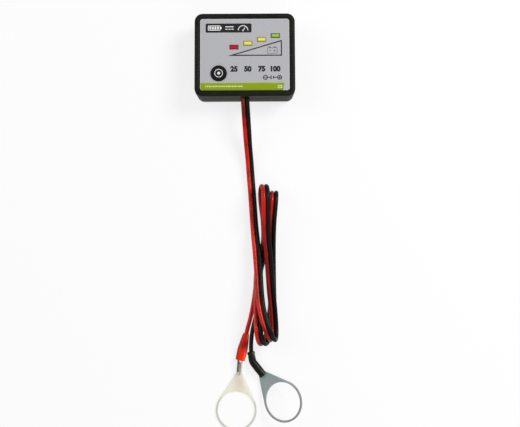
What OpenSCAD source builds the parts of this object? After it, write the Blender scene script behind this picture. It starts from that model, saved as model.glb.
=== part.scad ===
// Battery tester: a small two-shell case that shows a battery's charge on four
// lamps when its button is pressed, with a flat twin lead that ends in two
// ring terminals. It lies on its back, with its face up.
// Origin: centre of the case's back. +X right, +Y top of the face, +Z out of it.

/* [Case] */
// Width of the case
case_w = 56; // [54:0.5:64]
// Height of the face, from its bottom wall to its top wall
case_h = 47; // [46:0.5:56]
// Thickness of the case from back to rim
case_d = 17; // [16.5:0.25:19]
// Corner radius seen from the front
corner_r = 4.5; // [4:0.1:5.5]
// Depth of the front cover, from the rim to the parting line
cover_d = 4.5; // [4.3:0.1:5]
// Wall thickness of both shells
wall = 1.8; // [1.6:0.1:2.1]
// Floor thickness of the rear housing
floor_t = 2; // [1.6:0.1:2.4]
// Thickness of the front plate under the label
face_t = 1.6; // [1.4:0.1:1.8]
// How far the moulding draft draws the back edge in
draft = 0.6; // [0.2:0.1:1]
// Radius of the back edge
back_edge_r = 1.1; // [0.6:0.1:1.5]
// Width of the raised rim round the label
rim_w = 3.1; // [2.8:0.1:3.6]
// Depth of the label's seat below the top of the rim
seat_depth = 1; // [0.8:0.1:1.1]
// Height of the tongue that locates the two shells
tongue_h = 0.9; // [0.6:0.1:1]
// Thickness of the tongue
tongue_t = 0.8; // [0.6:0.1:0.9]

/* [Label and lamps] */
// Thickness of the face label
label_t = 0.4; // [0.2:0.05:0.5]
// Length of a lamp's window side
lamp_w = 4.8; // [4.4:0.1:5]
// Height of a lamp's window side
lamp_h = 2.4; // [2:0.1:2.6]
// How far the lamps stand out of the label
lamp_proud = 0.3; // [0.1:0.05:0.5]
// Centre of the first lamp, sideways
lamp_x = -6; // [-7:0.1:-5.5]
// Centre of the first lamp, upwards
lamp_y = 4.2; // [4:0.1:5]
// Sideways step from lamp to lamp
lamp_step_x = 7.7; // [7.2:0.1:7.8]
// Upward step from lamp to lamp
lamp_step_y = 2.15; // [1.8:0.05:2.3]

/* [Button] */
// Diameter of the push button
button_d = 8.8; // [8:0.1:9.4]
// How far the button stands out of the label
button_proud = 0.7; // [0.5:0.1:1]
// Button centre, sideways
button_x = -14.5; // [-15:0.1:-14]
// Button centre, upwards
button_y = -10.7; // [-11:0.1:-10]
// Travel of the button
button_travel = 0.3; // [0.2:0.05:0.4]

/* [Board] */
// Thickness of the circuit board
board_t = 1.6; // [1.2:0.2:1.6]
// Height of the board's upper side above the back
board_z = 8.6; // [8.4:0.1:8.8]
// Gap between the board's edge and the walls
board_gap = 0.5; // [0.3:0.1:0.8]

/* [Lead] */
// Diameter of one insulated wire of the twin lead
wire_d = 2.4; // [2.2:0.1:2.6]
// Diameter of a wire's copper core
core_d = 1; // [0.8:0.1:1.1]

/* [Terminals] */
// Hole in a ring terminal, which goes over a battery post
ring_hole_d = 20.5; // [19.5:0.5:22]
// Width of the ring round its hole
ring_rim = 1.1; // [1:0.1:1.6]
// Thickness of the terminal's sheet
sheet_t = 0.8; // [0.7:0.05:0.9]
// Distance from the ring's centre to its neck
neck_reach = 20.8; // [19.5:0.1:23]
// Width of the neck
neck_w = 2.6; // [2.2:0.1:3]
// Outer diameter of the crimp barrel
barrel_d = 3; // [2.8:0.1:3.2]
// Wall of the soft boots on the barrels
boot_wall = 0.45; // [0.35:0.05:0.6]

/* [Hidden] */

round_fn = 48;
small_fn = 24;
sleeve_fn = 32;
ring_fn = 96;

// Levels above the back
split_z = case_d - cover_d;
seat_z = case_d - seat_depth;
label_z = seat_z + label_t;
plate_z = seat_z - face_t;
board_under_z = board_z - board_t;

// Fits and small gaps
fit_gap = 0.1;
guide_gap = 0.15;
thread_gap = 0.02;
edge_step = 0.2;
// How far cutters run past a face, and how far joined shapes run into each other
cut = 1;
sink = 0.5;
seat_r = corner_r - rim_w;
crest_share = 0.45;
shoulder_share = 1.2;

// Screws of the case and their bosses
boss_inset = 5;
boss_d = 5;
pillar_d = 6.2;
pillar_top_z = 4.6;
case_screw_d = 2;
case_screw_tip_z = 11.5;
case_head_d = 4;
case_head_h = 1.8;
case_head_z = 0.4;
case_hole_gap = 0.25;
cross_l = 0.6;
cross_w = 0.15;
head_gap = 0.3;
boss_places = [for (sx = [-1, 1], sy = [-1, 1])
    [sx * (case_w / 2 - boss_inset), sy * (case_h / 2 - boss_inset)]];

// Screws of the board and the posts they enter
post_d = 4.4;
board_screw_d = 1.8;
board_screw_len = 4;
board_head_d = 3.6;
board_head_h = 1.2;
post_places = [[-20.5, 12.5], [22, -4], [-7.5, -16.5]];

// Lamps: a rectangular body on a flange, with two leads
lamp_len = 7.4;
lamp_flange = 0.4;
lamp_flange_h = 0.8;
pin_pitch = 2.54;
pin_w = 0.5;
pin_hole_d = 0.9;
pin_below = 1.2;
lamp_top_z = label_z + lamp_proud;
lamp_base_z = lamp_top_z - lamp_len;

// Button: cap, flange below the front plate and pocket for the plunger
button_top_z = label_z + button_proud;
button_flange_w = 0.9;
button_flange_h = 1;
button_stop_gap = 0.1;
button_flange_z = plate_z - button_stop_gap - button_flange_h;
button_dish = 0.25;
button_edge = 0.4;
pocket_d = 3.7;
pocket_h = 1;

// Tact switch under the button
switch_w = 6;
switch_body_h = 3.2;
switch_plate_t = 0.3;
switch_well_d = 4.8;
switch_well_h = 1.3;
plunger_d = 3.5;
plunger_flange_d = 4.2;
plunger_flange_h = 0.5;
dome_d = 4.4;
dome_t = 0.12;
dome_rest = 0.2;
dome_rise = button_travel + dome_rest;
dome_gap = 0.05;
switch_pin_x = 3.25;
switch_pin_y = 2.25;
switch_shoulder_z = 1;
switch_clip_h = 2;
dome_z = board_z + switch_body_h - switch_well_h;

// Wires inside the case, from the wall, round a bend and down to their pads
wire_gap = 0.05;
wire_x = wire_d / 2 + wire_gap;
wire_bend_r = 2.6;
core_sink = 0.8;

// Chips and small parts on the board
part_lift = 0.1;
chip_l = 8.7;
chip_w = 3.9;
chip_h = 1.4;
chip_lift = 0.15;
chip_dot_h = 0.1;
chip_leg_n = 7;
chip_leg_pitch = 1.27;
chip_leg_w = 0.4;
chip_leg_t = 0.2;
chip_leg_reach = 1.05;
chip_at = [9, -8];
ref_l = 2.9;
ref_w = 1.3;
ref_h = 1;
ref_pitch = 0.95;
ref_at = [1.5, -8.5];
res_l = 3.2;
res_w = 1.6;
res_h = 0.6;
res_cap = 0.5;
res_lift = 0.05;
res_places = [[-6, -1], [-1.4, -1], [3.2, -1], [7.8, -1], [12.4, -1], [17, -1],
    [6.5, -14], [11.1, -14], [15.7, -14]];
diode_l = 4.3;
diode_w = 2.6;
diode_h = 2.1;
diode_tab = 0.5;
diode_tab_h = 0.8;
diode_at = [-3.5, -8.5];
can_d = 4;
can_h = 4.8;
can_groove = 0.25;
can_groove_z = 0.85;
can_pin_x = 1;
can_at = [17.5, -9.5];
wire_pad_y = -14;
pin_places = concat(
    [for (i = [0:3], s = [-1, 1]) lamp_place(i) + [s * pin_pitch / 2, 0]],
    [for (sx = [-1, 1], sy = [-1, 1])
        [button_x + sx * switch_pin_x, button_y + sy * switch_pin_y]],
    [for (s = [-1, 1]) can_at + [s * can_pin_x, 0]]);
wire_places = [[-wire_x, wire_pad_y], [wire_x, wire_pad_y]];
wire_hole_d = 1.4;
wire_lift = 0.2;
solder_d = 2;
solder_tip_d = 1.2;
solder_h = 0.7;

// Way out of the lead, at the parting line in the middle of the bottom wall
slot_gap = 0.15;
tongue_slot_w = 8;
tie_w = 2.5;
tie_gap = 0.2;
tie_t = plate_z - split_z - wire_d / 2 - tie_gap;
tie_head = 4;
tie_head_h = 0.8;

// Places outside the case are counted from the foot of the lead's way out.
// Twin lead from the bottom wall to the hank: its centre line
twin_route = [
    [0, 0, split_z], [0, -1.5, split_z], [0.3, -6, split_z - 0.7], [0.8, -14.5, 9.3],
    [1.5, -25.5, 5], [2.2, -33.5, 2.6], [2.9, -43.5, 1.5], [3.7, -54, 1.3],
    [4.5, -66.5, 2.1], [5.2, -75.5, 4], [6, -83.5, 5.8], [6.7, -92.5, 6.6]
];
// Each wire of the lead from the end of the hank to its boot
red_route = [
    [5.2, -106.5, 1.3], [3.8, -116, 1.3], [2.2, -123.5, 1.3], [0.9, -128.1, 1.5],
    [0.1, -131.5, 1.7], [-1, -136, 1.8]
];
black_route = [
    [7.4, -112.5, 1.3], [5.1, -123, 1.3], [3.4, -130.5, 1.3], [2.8, -136.5, 1.6],
    [2.8, -141.5, 1.95], [3.4, -145.1, 1.95]
];
// Hank of the lead: outer shape of the stacked and fanned folds
hank_top = [12.8, -53.1];
hank_top_r = 5.9;
hank_bottom = [10.5, -130.9];
hank_bottom_r = 7;
hank_h = 15.4;

// Boots and the way each terminal lies
barrel_z = barrel_d / 2 + boot_wall;
barrel_wall = 0.6;
trough_w = 1.8;
neck_lap = 1;
ring_r = ring_hole_d / 2 + ring_rim;
red_end = [-4, -152.7];
red_heading = -4.5;
red_trough_l = 7;
red_barrel_l = 12;
red_boot_end = [-3.4, -145.9];
red_boot_heading = -13.4;
red_boot_l = 15;
red_boot_w = 5.3;
red_boot_neck_d = 3.4;
mouth_share = 0.3;
black_end = [7.8, -152];
black_heading = 42.4;
black_tilt = 27;
black_neck_z = 0.75;
black_trough_l = 1;
black_barrel_l = 5.5;
black_elbow = [3.7, -146.9];
black_boot_heading = 38.7;
black_boot_l = 9.4;
black_neck_heading = 10;
black_neck_l = 5.8;
black_boot_neck_d = 3.4;
collar_h = 1.1;

// Place of lamp i on the face
function lamp_place(i) = [lamp_x + i * lamp_step_x, lamp_y + i * lamp_step_y];

// Vector helpers for the swept tubes
function unit(v) = v / norm(v);
function side_of(t) = unit([1, 0, 0] - t * t[0]);
function tangent(p, i) = i == 0 ? unit(p[1] - p[0])
    : i == len(p) - 1 ? unit(p[i] - p[i - 1]) : unit(p[i + 1] - p[i - 1]);

// Outline of one wire, and of the twin lead, with eight sides
function wire_outline(d) = [for (i = [0:7]) d / 2 * [cos(45 * i + 22.5), sin(45 * i + 22.5)]];
twin_outline = [for (p = wire_outline(wire_d)) [p[0] + sign(p[0]) * wire_d / 2, p[1]]];

// A tube: one outline carried along a route, closed at both ends
module tube(route, outline) {
    n = len(outline);
    m = len(route);
    points = [for (i = [0:m - 1]) let (t = tangent(route, i), s = side_of(t), u = cross(t, s))
        for (p = outline) route[i] + p[0] * s + p[1] * u];
    sides = [for (i = [0:m - 2], j = [0:n - 1])
        [i * n + j, (i + 1) * n + j, (i + 1) * n + (j + 1) % n, i * n + (j + 1) % n]];
    start = [for (j = [0:n - 1]) j];
    end = [for (j = [n - 1:-1:0]) (m - 1) * n + j];
    polyhedron(points, concat([start], sides, [end]));
}

// Puts a piece outside the case where the lead comes out
module from_wall() translate([0, -case_h / 2, 0]) children();

// Flat rounded rectangle
module rounded(w, h, r) {
    square([w - 2 * r, h], center = true);
    square([w, h - 2 * r], center = true);
    for (sx = [-1, 1], sy = [-1, 1])
        translate([sx * (w / 2 - r), sy * (h / 2 - r)]) circle(r, $fn = round_fn);
}

// A wall profile carried round a rounded rectangle. The profile's x is counted
// outwards from the line that joins the corner centres, and its y is the height.
module swept_wall(w, h, r) {
    for (i = [0:3]) {
        sx = (i == 0 || i == 3) ? 1 : -1;
        sy = i < 2 ? 1 : -1;
        along = i % 2 == 0 ? h : w;
        translate([sx * (w / 2 - r), sy * (h / 2 - r), 0]) rotate([0, 0, 90 * i]) {
            rotate_extrude(angle = 90, $fn = round_fn) children();
            rotate([90, 0, 0]) linear_extrude(along - 2 * r) children();
        }
    }
}

// Profile of the rear housing's wall: draft, rounded back edge and tongue
module rear_wall_profile() {
    x0 = corner_r - draft - back_edge_r;
    inner = corner_r - wall;
    polygon(concat(
        [[seat_r, 0], [x0, 0]],
        [for (a = [15:15:90]) [x0 + back_edge_r * sin(a), back_edge_r * (1 - cos(a))]],
        [[corner_r, split_z - edge_step], [corner_r - edge_step, split_z],
         [inner + tongue_t, split_z], [inner + tongue_t, split_z + tongue_h],
         [inner, split_z + tongue_h], [inner, floor_t], [seat_r, floor_t]]));
}

// Profile of the front cover's wall: rebate for the tongue and the rounded rim
module cover_wall_profile() {
    inner = corner_r - wall;
    crest = corner_r - rim_w * crest_share;
    shoulder_z = case_d - seat_depth * shoulder_share;
    polygon(concat(
        [[inner + tongue_t + fit_gap, split_z], [corner_r - edge_step, split_z],
         [corner_r, split_z + edge_step], [corner_r, shoulder_z]],
        [for (a = [15:15:90])
            [crest + (corner_r - crest) * cos(a),
             shoulder_z + (case_d - shoulder_z) * sin(a)]],
        [for (a = [15:15:75])
            [crest - (crest - seat_r) * sin(a), seat_z + seat_depth * cos(a)]],
        [[seat_r, seat_z], [seat_r, plate_z], [inner, plate_z],
         [inner, split_z + tongue_h + fit_gap],
         [inner + tongue_t + fit_gap, split_z + tongue_h + fit_gap]]));
}

// Stadium-shaped way out for the twin lead, cut along Y through a wall
module lead_slot() {
    r = wire_d / 2 + slot_gap;
    translate([0, -case_h / 2 + wall + cut, split_z]) rotate([90, 0, 0]) {
        for (s = [-1, 1])
            translate([s * wire_x, 0, 0]) cylinder(wall + 2 * cut, r = r, $fn = small_fn);
        translate([-wire_x, -r, 0]) cube([2 * wire_x, 2 * r, wall + 2 * cut]);
    }
}

module rear_housing() color([0.08, 0.08, 0.07]) difference() {
    union() {
        swept_wall(case_w, case_h, corner_r) rear_wall_profile();
        linear_extrude(floor_t)
            square([case_w - 2 * corner_r + 2 * seat_r, case_h - 2 * corner_r + 2 * seat_r],
                center = true);
        for (p = boss_places)
            translate(p) cylinder(pillar_top_z, d = pillar_d, $fn = round_fn);
    }
    for (p = boss_places) translate(p) {
        translate([0, 0, -cut])
            cylinder(pillar_top_z + 2 * cut, d = case_screw_d + 2 * case_hole_gap, $fn = small_fn);
        translate([0, 0, -cut]) cylinder(case_head_z + case_head_h + cut,
            d = case_head_d + 2 * head_gap, $fn = small_fn);
    }
    lead_slot();
    translate([-tongue_slot_w / 2, -case_h / 2 - cut, split_z])
        cube([tongue_slot_w, wall + 2 * cut, tongue_h + cut]);
}

module front_cover() color([0.09, 0.09, 0.08]) difference() {
    union() {
        swept_wall(case_w, case_h, corner_r) cover_wall_profile();
        translate([0, 0, plate_z]) linear_extrude(face_t)
            rounded(case_w - 2 * rim_w, case_h - 2 * rim_w, seat_r);
        for (p = boss_places) translate([p[0], p[1], pillar_top_z + fit_gap])
            cylinder(plate_z - pillar_top_z, d = boss_d, $fn = round_fn);
        for (p = post_places) translate([p[0], p[1], board_z])
            cylinder(plate_z - board_z + sink, d = post_d, $fn = small_fn);
        translate([button_x, button_y, plate_z - sink])
            cylinder(face_t, d = button_d + 2 * guide_gap + 2 * wall, $fn = round_fn);
    }
    for (p = boss_places) translate([p[0], p[1], pillar_top_z - cut])
        cylinder(case_screw_tip_z - pillar_top_z + cut + sink, d = case_screw_d + 2 * thread_gap,
            $fn = small_fn);
    for (p = post_places) translate([p[0], p[1], board_z - cut])
        cylinder(board_screw_len + sink, d = board_screw_d + 2 * thread_gap, $fn = small_fn);
    for (i = [0:3]) translate(concat(lamp_place(i), plate_z + face_t / 2))
        cube([lamp_w + 2 * guide_gap, lamp_h + 2 * guide_gap, 2 * face_t], center = true);
    translate([button_x, button_y, plate_z - cut])
        cylinder(face_t + 2 * cut, d = button_d + 2 * guide_gap, $fn = round_fn);
    translate([button_x, button_y, plate_z - cut])
        cylinder(cut, d = button_d + 2 * button_flange_w + 2 * head_gap, $fn = round_fn);
    lead_slot();
}

module face_label() color([0.7, 0.7, 0.71]) translate([0, 0, seat_z])
linear_extrude(label_t) difference() {
    rounded(case_w - 2 * rim_w - 2 * fit_gap, case_h - 2 * rim_w - 2 * fit_gap, seat_r - fit_gap);
    for (i = [0:3]) translate(lamp_place(i))
        square([lamp_w + 2 * guide_gap, lamp_h + 2 * guide_gap], center = true);
    translate([button_x, button_y]) circle(d = button_d + 2 * guide_gap, $fn = round_fn);
}

// The cap slides in the front plate; its flange stops it from below
module push_button() color([0.06, 0.06, 0.07]) translate([button_x, button_y, 0])
rotate_extrude($fn = round_fn) polygon([
    [pocket_d / 2, button_flange_z], [button_d / 2 + button_flange_w, button_flange_z],
    [button_d / 2 + button_flange_w, button_flange_z + button_flange_h],
    [button_d / 2, button_flange_z + button_flange_h],
    [button_d / 2, button_top_z - button_edge], [button_d / 2 - button_edge, button_top_z],
    [button_d / 2 - 2 * button_edge, button_top_z],
    [button_d / 4, button_top_z - button_dish * 0.7], [0, button_top_z - button_dish],
    [0, button_flange_z + pocket_h], [pocket_d / 2, button_flange_z + pocket_h]
]);

module switch_plunger() color([0.12, 0.12, 0.12]) translate([button_x, button_y, 0]) {
    low = dome_z + dome_rise + dome_gap;
    translate([0, 0, low]) cylinder(plunger_flange_h, d = plunger_flange_d, $fn = small_fn);
    translate([0, 0, low])
        cylinder(button_flange_z + pocket_h - low, d = plunger_d, $fn = small_fn);
}

// Snap disc: a thin domed shell that rests on the floor of the switch's well
module switch_dome() color([0.75, 0.75, 0.72]) translate([button_x, button_y, dome_z])
rotate_extrude($fn = small_fn) polygon([
    [0, dome_rise - dome_t], [dome_d * 0.3, (dome_rise - dome_t) * 0.6],
    [dome_d / 2 - dome_t, 0], [dome_d / 2, 0],
    [dome_d * 0.3, (dome_rise - dome_t) * 0.6 + dome_t], [0, dome_rise]
]);

module switch_base() color([0.1, 0.1, 0.1]) translate([button_x, button_y, board_z]) {
    difference() {
        translate([0, 0, switch_body_h / 2])
            cube([switch_w, switch_w - 2 * switch_plate_t, switch_body_h], center = true);
        translate([0, 0, switch_body_h - switch_well_h])
            cylinder(switch_well_h + cut, d = switch_well_d, $fn = small_fn);
    }
    for (sx = [-1, 1], sy = [-1, 1]) color([0.8, 0.8, 0.78])
        translate([sx * switch_pin_x, sy * switch_pin_y, 0]) {
            translate([-pin_w / 4, -pin_w / 2, -board_t - pin_below])
                cube([pin_w / 2, pin_w, board_t + pin_below + switch_shoulder_z]);
            translate([sx > 0 ? -pin_w : -pin_w / 4, -pin_w / 2, switch_shoulder_z - pin_w / 2])
                cube([pin_w * 5 / 4, pin_w, pin_w / 2]);
        }
}

module switch_frame() color([0.78, 0.78, 0.76])
translate([button_x, button_y, board_z + switch_body_h]) difference() {
    union() {
        translate([0, 0, switch_plate_t / 2])
            cube([switch_w, switch_w, switch_plate_t], center = true);
        for (s = [-1, 1])
            translate([0, s * (switch_w - switch_plate_t) / 2, (switch_plate_t - switch_clip_h) / 2])
                cube([switch_w / 2, switch_plate_t, switch_clip_h + switch_plate_t], center = true);
    }
    translate([0, 0, -cut]) cylinder(2 * cut, d = plunger_d + 2 * fit_gap, $fn = small_fn);
}

module circuit_board() color([0.1, 0.35, 0.16]) translate([0, 0, board_under_z])
linear_extrude(board_t) difference() {
    square([case_w - 2 * wall - 2 * board_gap, case_h - 2 * wall - 2 * board_gap], center = true);
    for (p = boss_places) {
        notch = boss_inset + boss_d / 2 + board_gap;
        translate([sign(p[0]) * case_w / 2, sign(p[1]) * case_h / 2])
            square(2 * notch, center = true);
    }
    for (p = post_places) translate(p) circle(d = board_screw_d + 2 * guide_gap, $fn = small_fn);
    for (p = pin_places) translate(p) circle(d = pin_hole_d, $fn = small_fn);
    for (p = wire_places) translate(p) circle(d = wire_hole_d, $fn = small_fn);
}

// One lamp: window body on a flange, with two square leads through the board
module lamp(i, tint) translate(concat(lamp_place(i), 0)) {
    color(tint) {
        translate([-lamp_w / 2, -lamp_h / 2, lamp_base_z]) cube([lamp_w, lamp_h, lamp_len]);
        translate([-lamp_w / 2 - lamp_flange, -lamp_h / 2 - lamp_flange, lamp_base_z])
            cube([lamp_w + 2 * lamp_flange, lamp_h + 2 * lamp_flange, lamp_flange_h]);
    }
    for (s = [-1, 1]) color([0.8, 0.8, 0.78])
        translate([s * pin_pitch / 2 - pin_w / 2, -pin_w / 2, board_under_z - pin_below])
            cube([pin_w, pin_w, lamp_base_z - board_under_z + pin_below + sink]);
}
module led_red() lamp(0, [0.78, 0.08, 0.18]);
module led_yellow_low() lamp(1, [0.93, 0.87, 0.2]);
module led_yellow_high() lamp(2, [0.93, 0.87, 0.2]);
module led_green() lamp(3, [0.55, 0.7, 0.15]);

// Gull-wing leg: out of the body, down and out on to its pad
module wing_leg() {
    mid = chip_h / 2;
    rotate([90, 0, 0]) translate([0, 0, -chip_leg_w / 2]) linear_extrude(chip_leg_w) polygon([
        [-chip_leg_t, mid], [chip_leg_reach * 0.4, mid], [chip_leg_reach * 0.55, chip_leg_t],
        [chip_leg_reach, chip_leg_t], [chip_leg_reach, 0], [chip_leg_reach * 0.35, 0],
        [chip_leg_reach * 0.2, mid - chip_leg_t], [-chip_leg_t, mid - chip_leg_t]
    ]);
}

module comparator_chip() translate([chip_at[0], chip_at[1], board_z]) {
    color([0.1, 0.1, 0.1]) difference() {
        translate([-chip_l / 2, -chip_w / 2, chip_lift]) cube([chip_l, chip_w, chip_h]);
        translate([-chip_l / 2 + chip_w / 4, -chip_w / 4, chip_lift + chip_h - chip_dot_h])
            cylinder(cut, r = chip_leg_w, $fn = small_fn);
    }
    color([0.8, 0.8, 0.78]) for (i = [0:chip_leg_n - 1], s = [0, 180])
        rotate([0, 0, s]) translate([(i - (chip_leg_n - 1) / 2) * chip_leg_pitch, chip_w / 2, 0])
            rotate([0, 0, 90]) wing_leg();
}

module reference_chip() translate([ref_at[0], ref_at[1], board_z]) {
    color([0.1, 0.1, 0.1]) translate([-ref_l / 2, -ref_w / 2, part_lift]) cube([ref_l, ref_w, ref_h]);
    color([0.8, 0.8, 0.78]) for (p = [[-ref_pitch, 90], [ref_pitch, 90], [0, -90]])
        translate([p[0], sign(p[1]) * ref_w / 2, 0]) rotate([0, 0, p[1]])
            translate([-chip_leg_t, -chip_leg_w / 2, 0]) cube([2 * chip_leg_w, chip_leg_w, chip_leg_t]);
}

module bias_resistors() for (p = res_places) translate([p[0], p[1], board_z]) {
    color([0.12, 0.12, 0.12]) translate([-res_l / 2 + res_cap, -res_w / 2, res_lift])
        cube([res_l - 2 * res_cap, res_w, res_h - res_lift]);
    for (s = [-1, 1]) color([0.8, 0.8, 0.78])
        translate([s * (res_l - res_cap) / 2, 0, res_h / 2])
            cube([res_cap, res_w, res_h], center = true);
}

module protection_diode() translate([diode_at[0], diode_at[1], board_z]) {
    color([0.12, 0.12, 0.12]) translate([-diode_l / 2, -diode_w / 2, part_lift])
        cube([diode_l, diode_w, diode_h]);
    for (s = [-1, 1]) color([0.8, 0.8, 0.78])
        translate([s * diode_l / 2, 0, diode_tab_h / 2])
            cube([2 * diode_tab, diode_w / 2, diode_tab_h], center = true);
}

module smoothing_capacitor() translate([can_at[0], can_at[1], board_z]) {
    color([0.15, 0.17, 0.3]) rotate_extrude($fn = small_fn) polygon([
        [0, 0], [can_d / 2, 0], [can_d / 2, can_groove_z - can_groove],
        [can_d / 2 - can_groove, can_groove_z], [can_d / 2, can_groove_z + can_groove],
        [can_d / 2, can_h - edge_step], [can_d / 2 - edge_step, can_h], [0, can_h]
    ]);
    for (s = [-1, 1]) color([0.8, 0.8, 0.78])
        translate([s * can_pin_x, 0, -board_t - pin_below])
            cylinder(board_t + pin_below + sink, d = pin_w, $fn = small_fn);
}

// Solder cones on the underside, one round each lead
module solder_cone(hole) difference() {
    cylinder(solder_h, d1 = solder_tip_d + hole - pin_hole_d, d2 = solder_d + hole - pin_hole_d,
        $fn = small_fn);
    translate([0, 0, -cut]) cylinder(solder_h + 2 * cut, d = hole, $fn = small_fn);
}
module solder_joints() color([0.75, 0.75, 0.74]) translate([0, 0, board_under_z - solder_h]) {
    for (p = pin_places) translate(p) solder_cone(pin_hole_d);
    for (p = wire_places) translate(p) solder_cone(wire_hole_d - wire_lift);
}

// Pan-head screw, head down, with a cross recess
module screw(d, length, head_d, head_h) {
    translate([0, 0, head_h]) cylinder(length, d = d, $fn = small_fn);
    difference() {
        cylinder(head_h, d = head_d, $fn = small_fn);
        for (a = [0, 90]) rotate([0, 0, a])
            cube([head_d * cross_l, head_d * cross_w, head_h], center = true);
    }
}
module board_screws() color([0.8, 0.8, 0.78]) for (p = post_places)
    translate([p[0], p[1], board_under_z - board_head_h])
        screw(board_screw_d, board_screw_len, board_head_d, board_head_h);
module case_screws() color([0.2, 0.2, 0.2]) for (p = boss_places)
    translate([p[0], p[1], case_head_z])
        screw(case_screw_d, case_screw_tip_z - case_head_z - case_head_h, case_head_d, case_head_h);

// Nylon tie round the lead, just inside the wall, that stops it from pulling out
module cable_tie() color([0.85, 0.85, 0.82])
translate([0, -case_h / 2 + wall + fit_gap + tie_w, split_z]) rotate([90, 0, 0]) difference() {
    union() {
        for (s = [-1, 1]) translate([s * wire_x, 0, 0])
            cylinder(tie_w, d = wire_d + 2 * tie_t, $fn = small_fn);
        translate([-wire_x, -wire_d / 2 - tie_t, 0])
            cube([2 * wire_x, wire_d + 2 * tie_t, tie_w]);
        translate([-tie_head / 2, -wire_d / 2 - tie_t - tie_head_h, 0])
            cube([tie_head, tie_head_h + tie_t, tie_w]);
    }
    for (s = [-1, 1]) translate([s * wire_x, 0, -cut])
        cylinder(tie_w + 2 * cut, r = wire_d / 2 + thread_gap, $fn = small_fn);
}

// A wire inside the case, with its copper core down through the board
module inner_wire(side) translate([side * wire_x, wire_pad_y, 0]) {
    straight_l = case_h / 2 + wire_pad_y - wire_bend_r;
    translate([0, -wire_bend_r, split_z]) rotate([90, 0, 0])
        cylinder(straight_l, d = wire_d, $fn = small_fn);
    translate([0, -wire_bend_r, split_z - wire_bend_r]) rotate([90, 0, 90])
        rotate_extrude(angle = 90, $fn = round_fn)
            translate([wire_bend_r, 0]) circle(d = wire_d, $fn = small_fn);
    translate([0, 0, board_z + wire_lift])
        cylinder(split_z - wire_bend_r - board_z - wire_lift, d = wire_d, $fn = small_fn);
    translate([0, 0, board_under_z - pin_below])
        cylinder(board_t + pin_below + wire_lift + core_sink, d = core_d, $fn = small_fn);
}
module inner_wire_red() color([0.8, 0.1, 0.06]) inner_wire(-1);
module inner_wire_black() color([0.07, 0.07, 0.06]) inner_wire(1);

module twin_cable() color([0.6, 0.08, 0.05]) from_wall() tube(twin_route, twin_outline);

// Outer shape of the hank: an extruded outline with round ends
module cable_hank() color([0.6, 0.08, 0.05]) from_wall() linear_extrude(hank_h) hull() {
    translate(hank_top) circle(hank_top_r, $fn = sleeve_fn);
    translate(hank_bottom) circle(hank_bottom_r, $fn = sleeve_fn);
}

module red_lead() color([0.8, 0.1, 0.06]) from_wall() tube(red_route, wire_outline(wire_d));
module black_lead() color([0.07, 0.07, 0.06]) from_wall()
    tube(black_route, wire_outline(wire_d));

// Ring terminal's sheet: a ring drawn out to a narrow neck, lying in its own plane
// with the ring's centre at the origin and the neck up +Y
module ring_sheet() linear_extrude(sheet_t) difference() {
    union() {
        circle(ring_r, $fn = ring_fn);
        lean = asin((ring_r - neck_w / 2) / neck_reach);
        polygon([[ring_r * cos(lean), ring_r * sin(lean)], [neck_w / 2, neck_reach],
            [-neck_w / 2, neck_reach], [-ring_r * cos(lean), ring_r * sin(lean)]]);
    }
    circle(d = ring_hole_d, $fn = ring_fn);
}

// Crimp barrel along +Y from the origin: an open trough, then a closed tube
module crimp_barrel(open_l, length) difference() {
    rotate([-90, 0, 0]) cylinder(length, d = barrel_d, $fn = small_fn);
    translate([0, -cut, 0]) rotate([-90, 0, 0])
        cylinder(length + 2 * cut, d = barrel_d - 2 * barrel_wall, $fn = small_fn);
    translate([-trough_w / 2, -cut, 0]) cube([trough_w, open_l + cut, barrel_d]);
}

module red_ring_terminal() color([0.85, 0.84, 0.78]) from_wall()
translate([red_end[0], red_end[1], 0]) rotate([0, 0, red_heading]) {
    translate([0, -neck_reach, 0]) ring_sheet();
    translate([0, -neck_lap, barrel_z]) crimp_barrel(red_trough_l, red_barrel_l);
}

module black_ring_terminal() color([0.6, 0.64, 0.63]) from_wall()
translate([black_end[0], black_end[1], 0]) {
    translate([0, 0, black_neck_z]) rotate([0, -black_tilt, 0]) rotate([0, 0, black_heading])
        translate([0, -neck_reach, 0]) ring_sheet();
    rotate([0, 0, black_boot_heading]) translate([0, -neck_lap / 2, barrel_z])
        crimp_barrel(black_trough_l, black_barrel_l);
}

// Flattened sleeve between a wide mouth over the barrel and a round neck on the wire
module flat_sleeve(mouth_w, mouth_h, neck_d, length) hull() {
    for (s = [-1, 1]) translate([s * (mouth_w - mouth_h) / 2, 0, mouth_h / 2])
        rotate([-90, 0, 0]) cylinder(length * mouth_share, d = mouth_h, $fn = sleeve_fn);
    translate([0, length - cut, neck_d / 2]) rotate([-90, 0, 0])
        cylinder(cut, d = neck_d, $fn = sleeve_fn);
}
module red_boot() color([0.92, 0.2, 0.08]) from_wall()
translate([red_boot_end[0], red_boot_end[1], 0]) rotate([0, 0, red_boot_heading]) difference() {
    flat_sleeve(red_boot_w, 2 * barrel_z, red_boot_neck_d, red_boot_l);
    translate([0, -cut, boot_wall])
        flat_sleeve(red_boot_w - 2 * boot_wall, barrel_d, wire_d + 2 * wire_gap, red_boot_l + 2 * cut);
}

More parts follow.
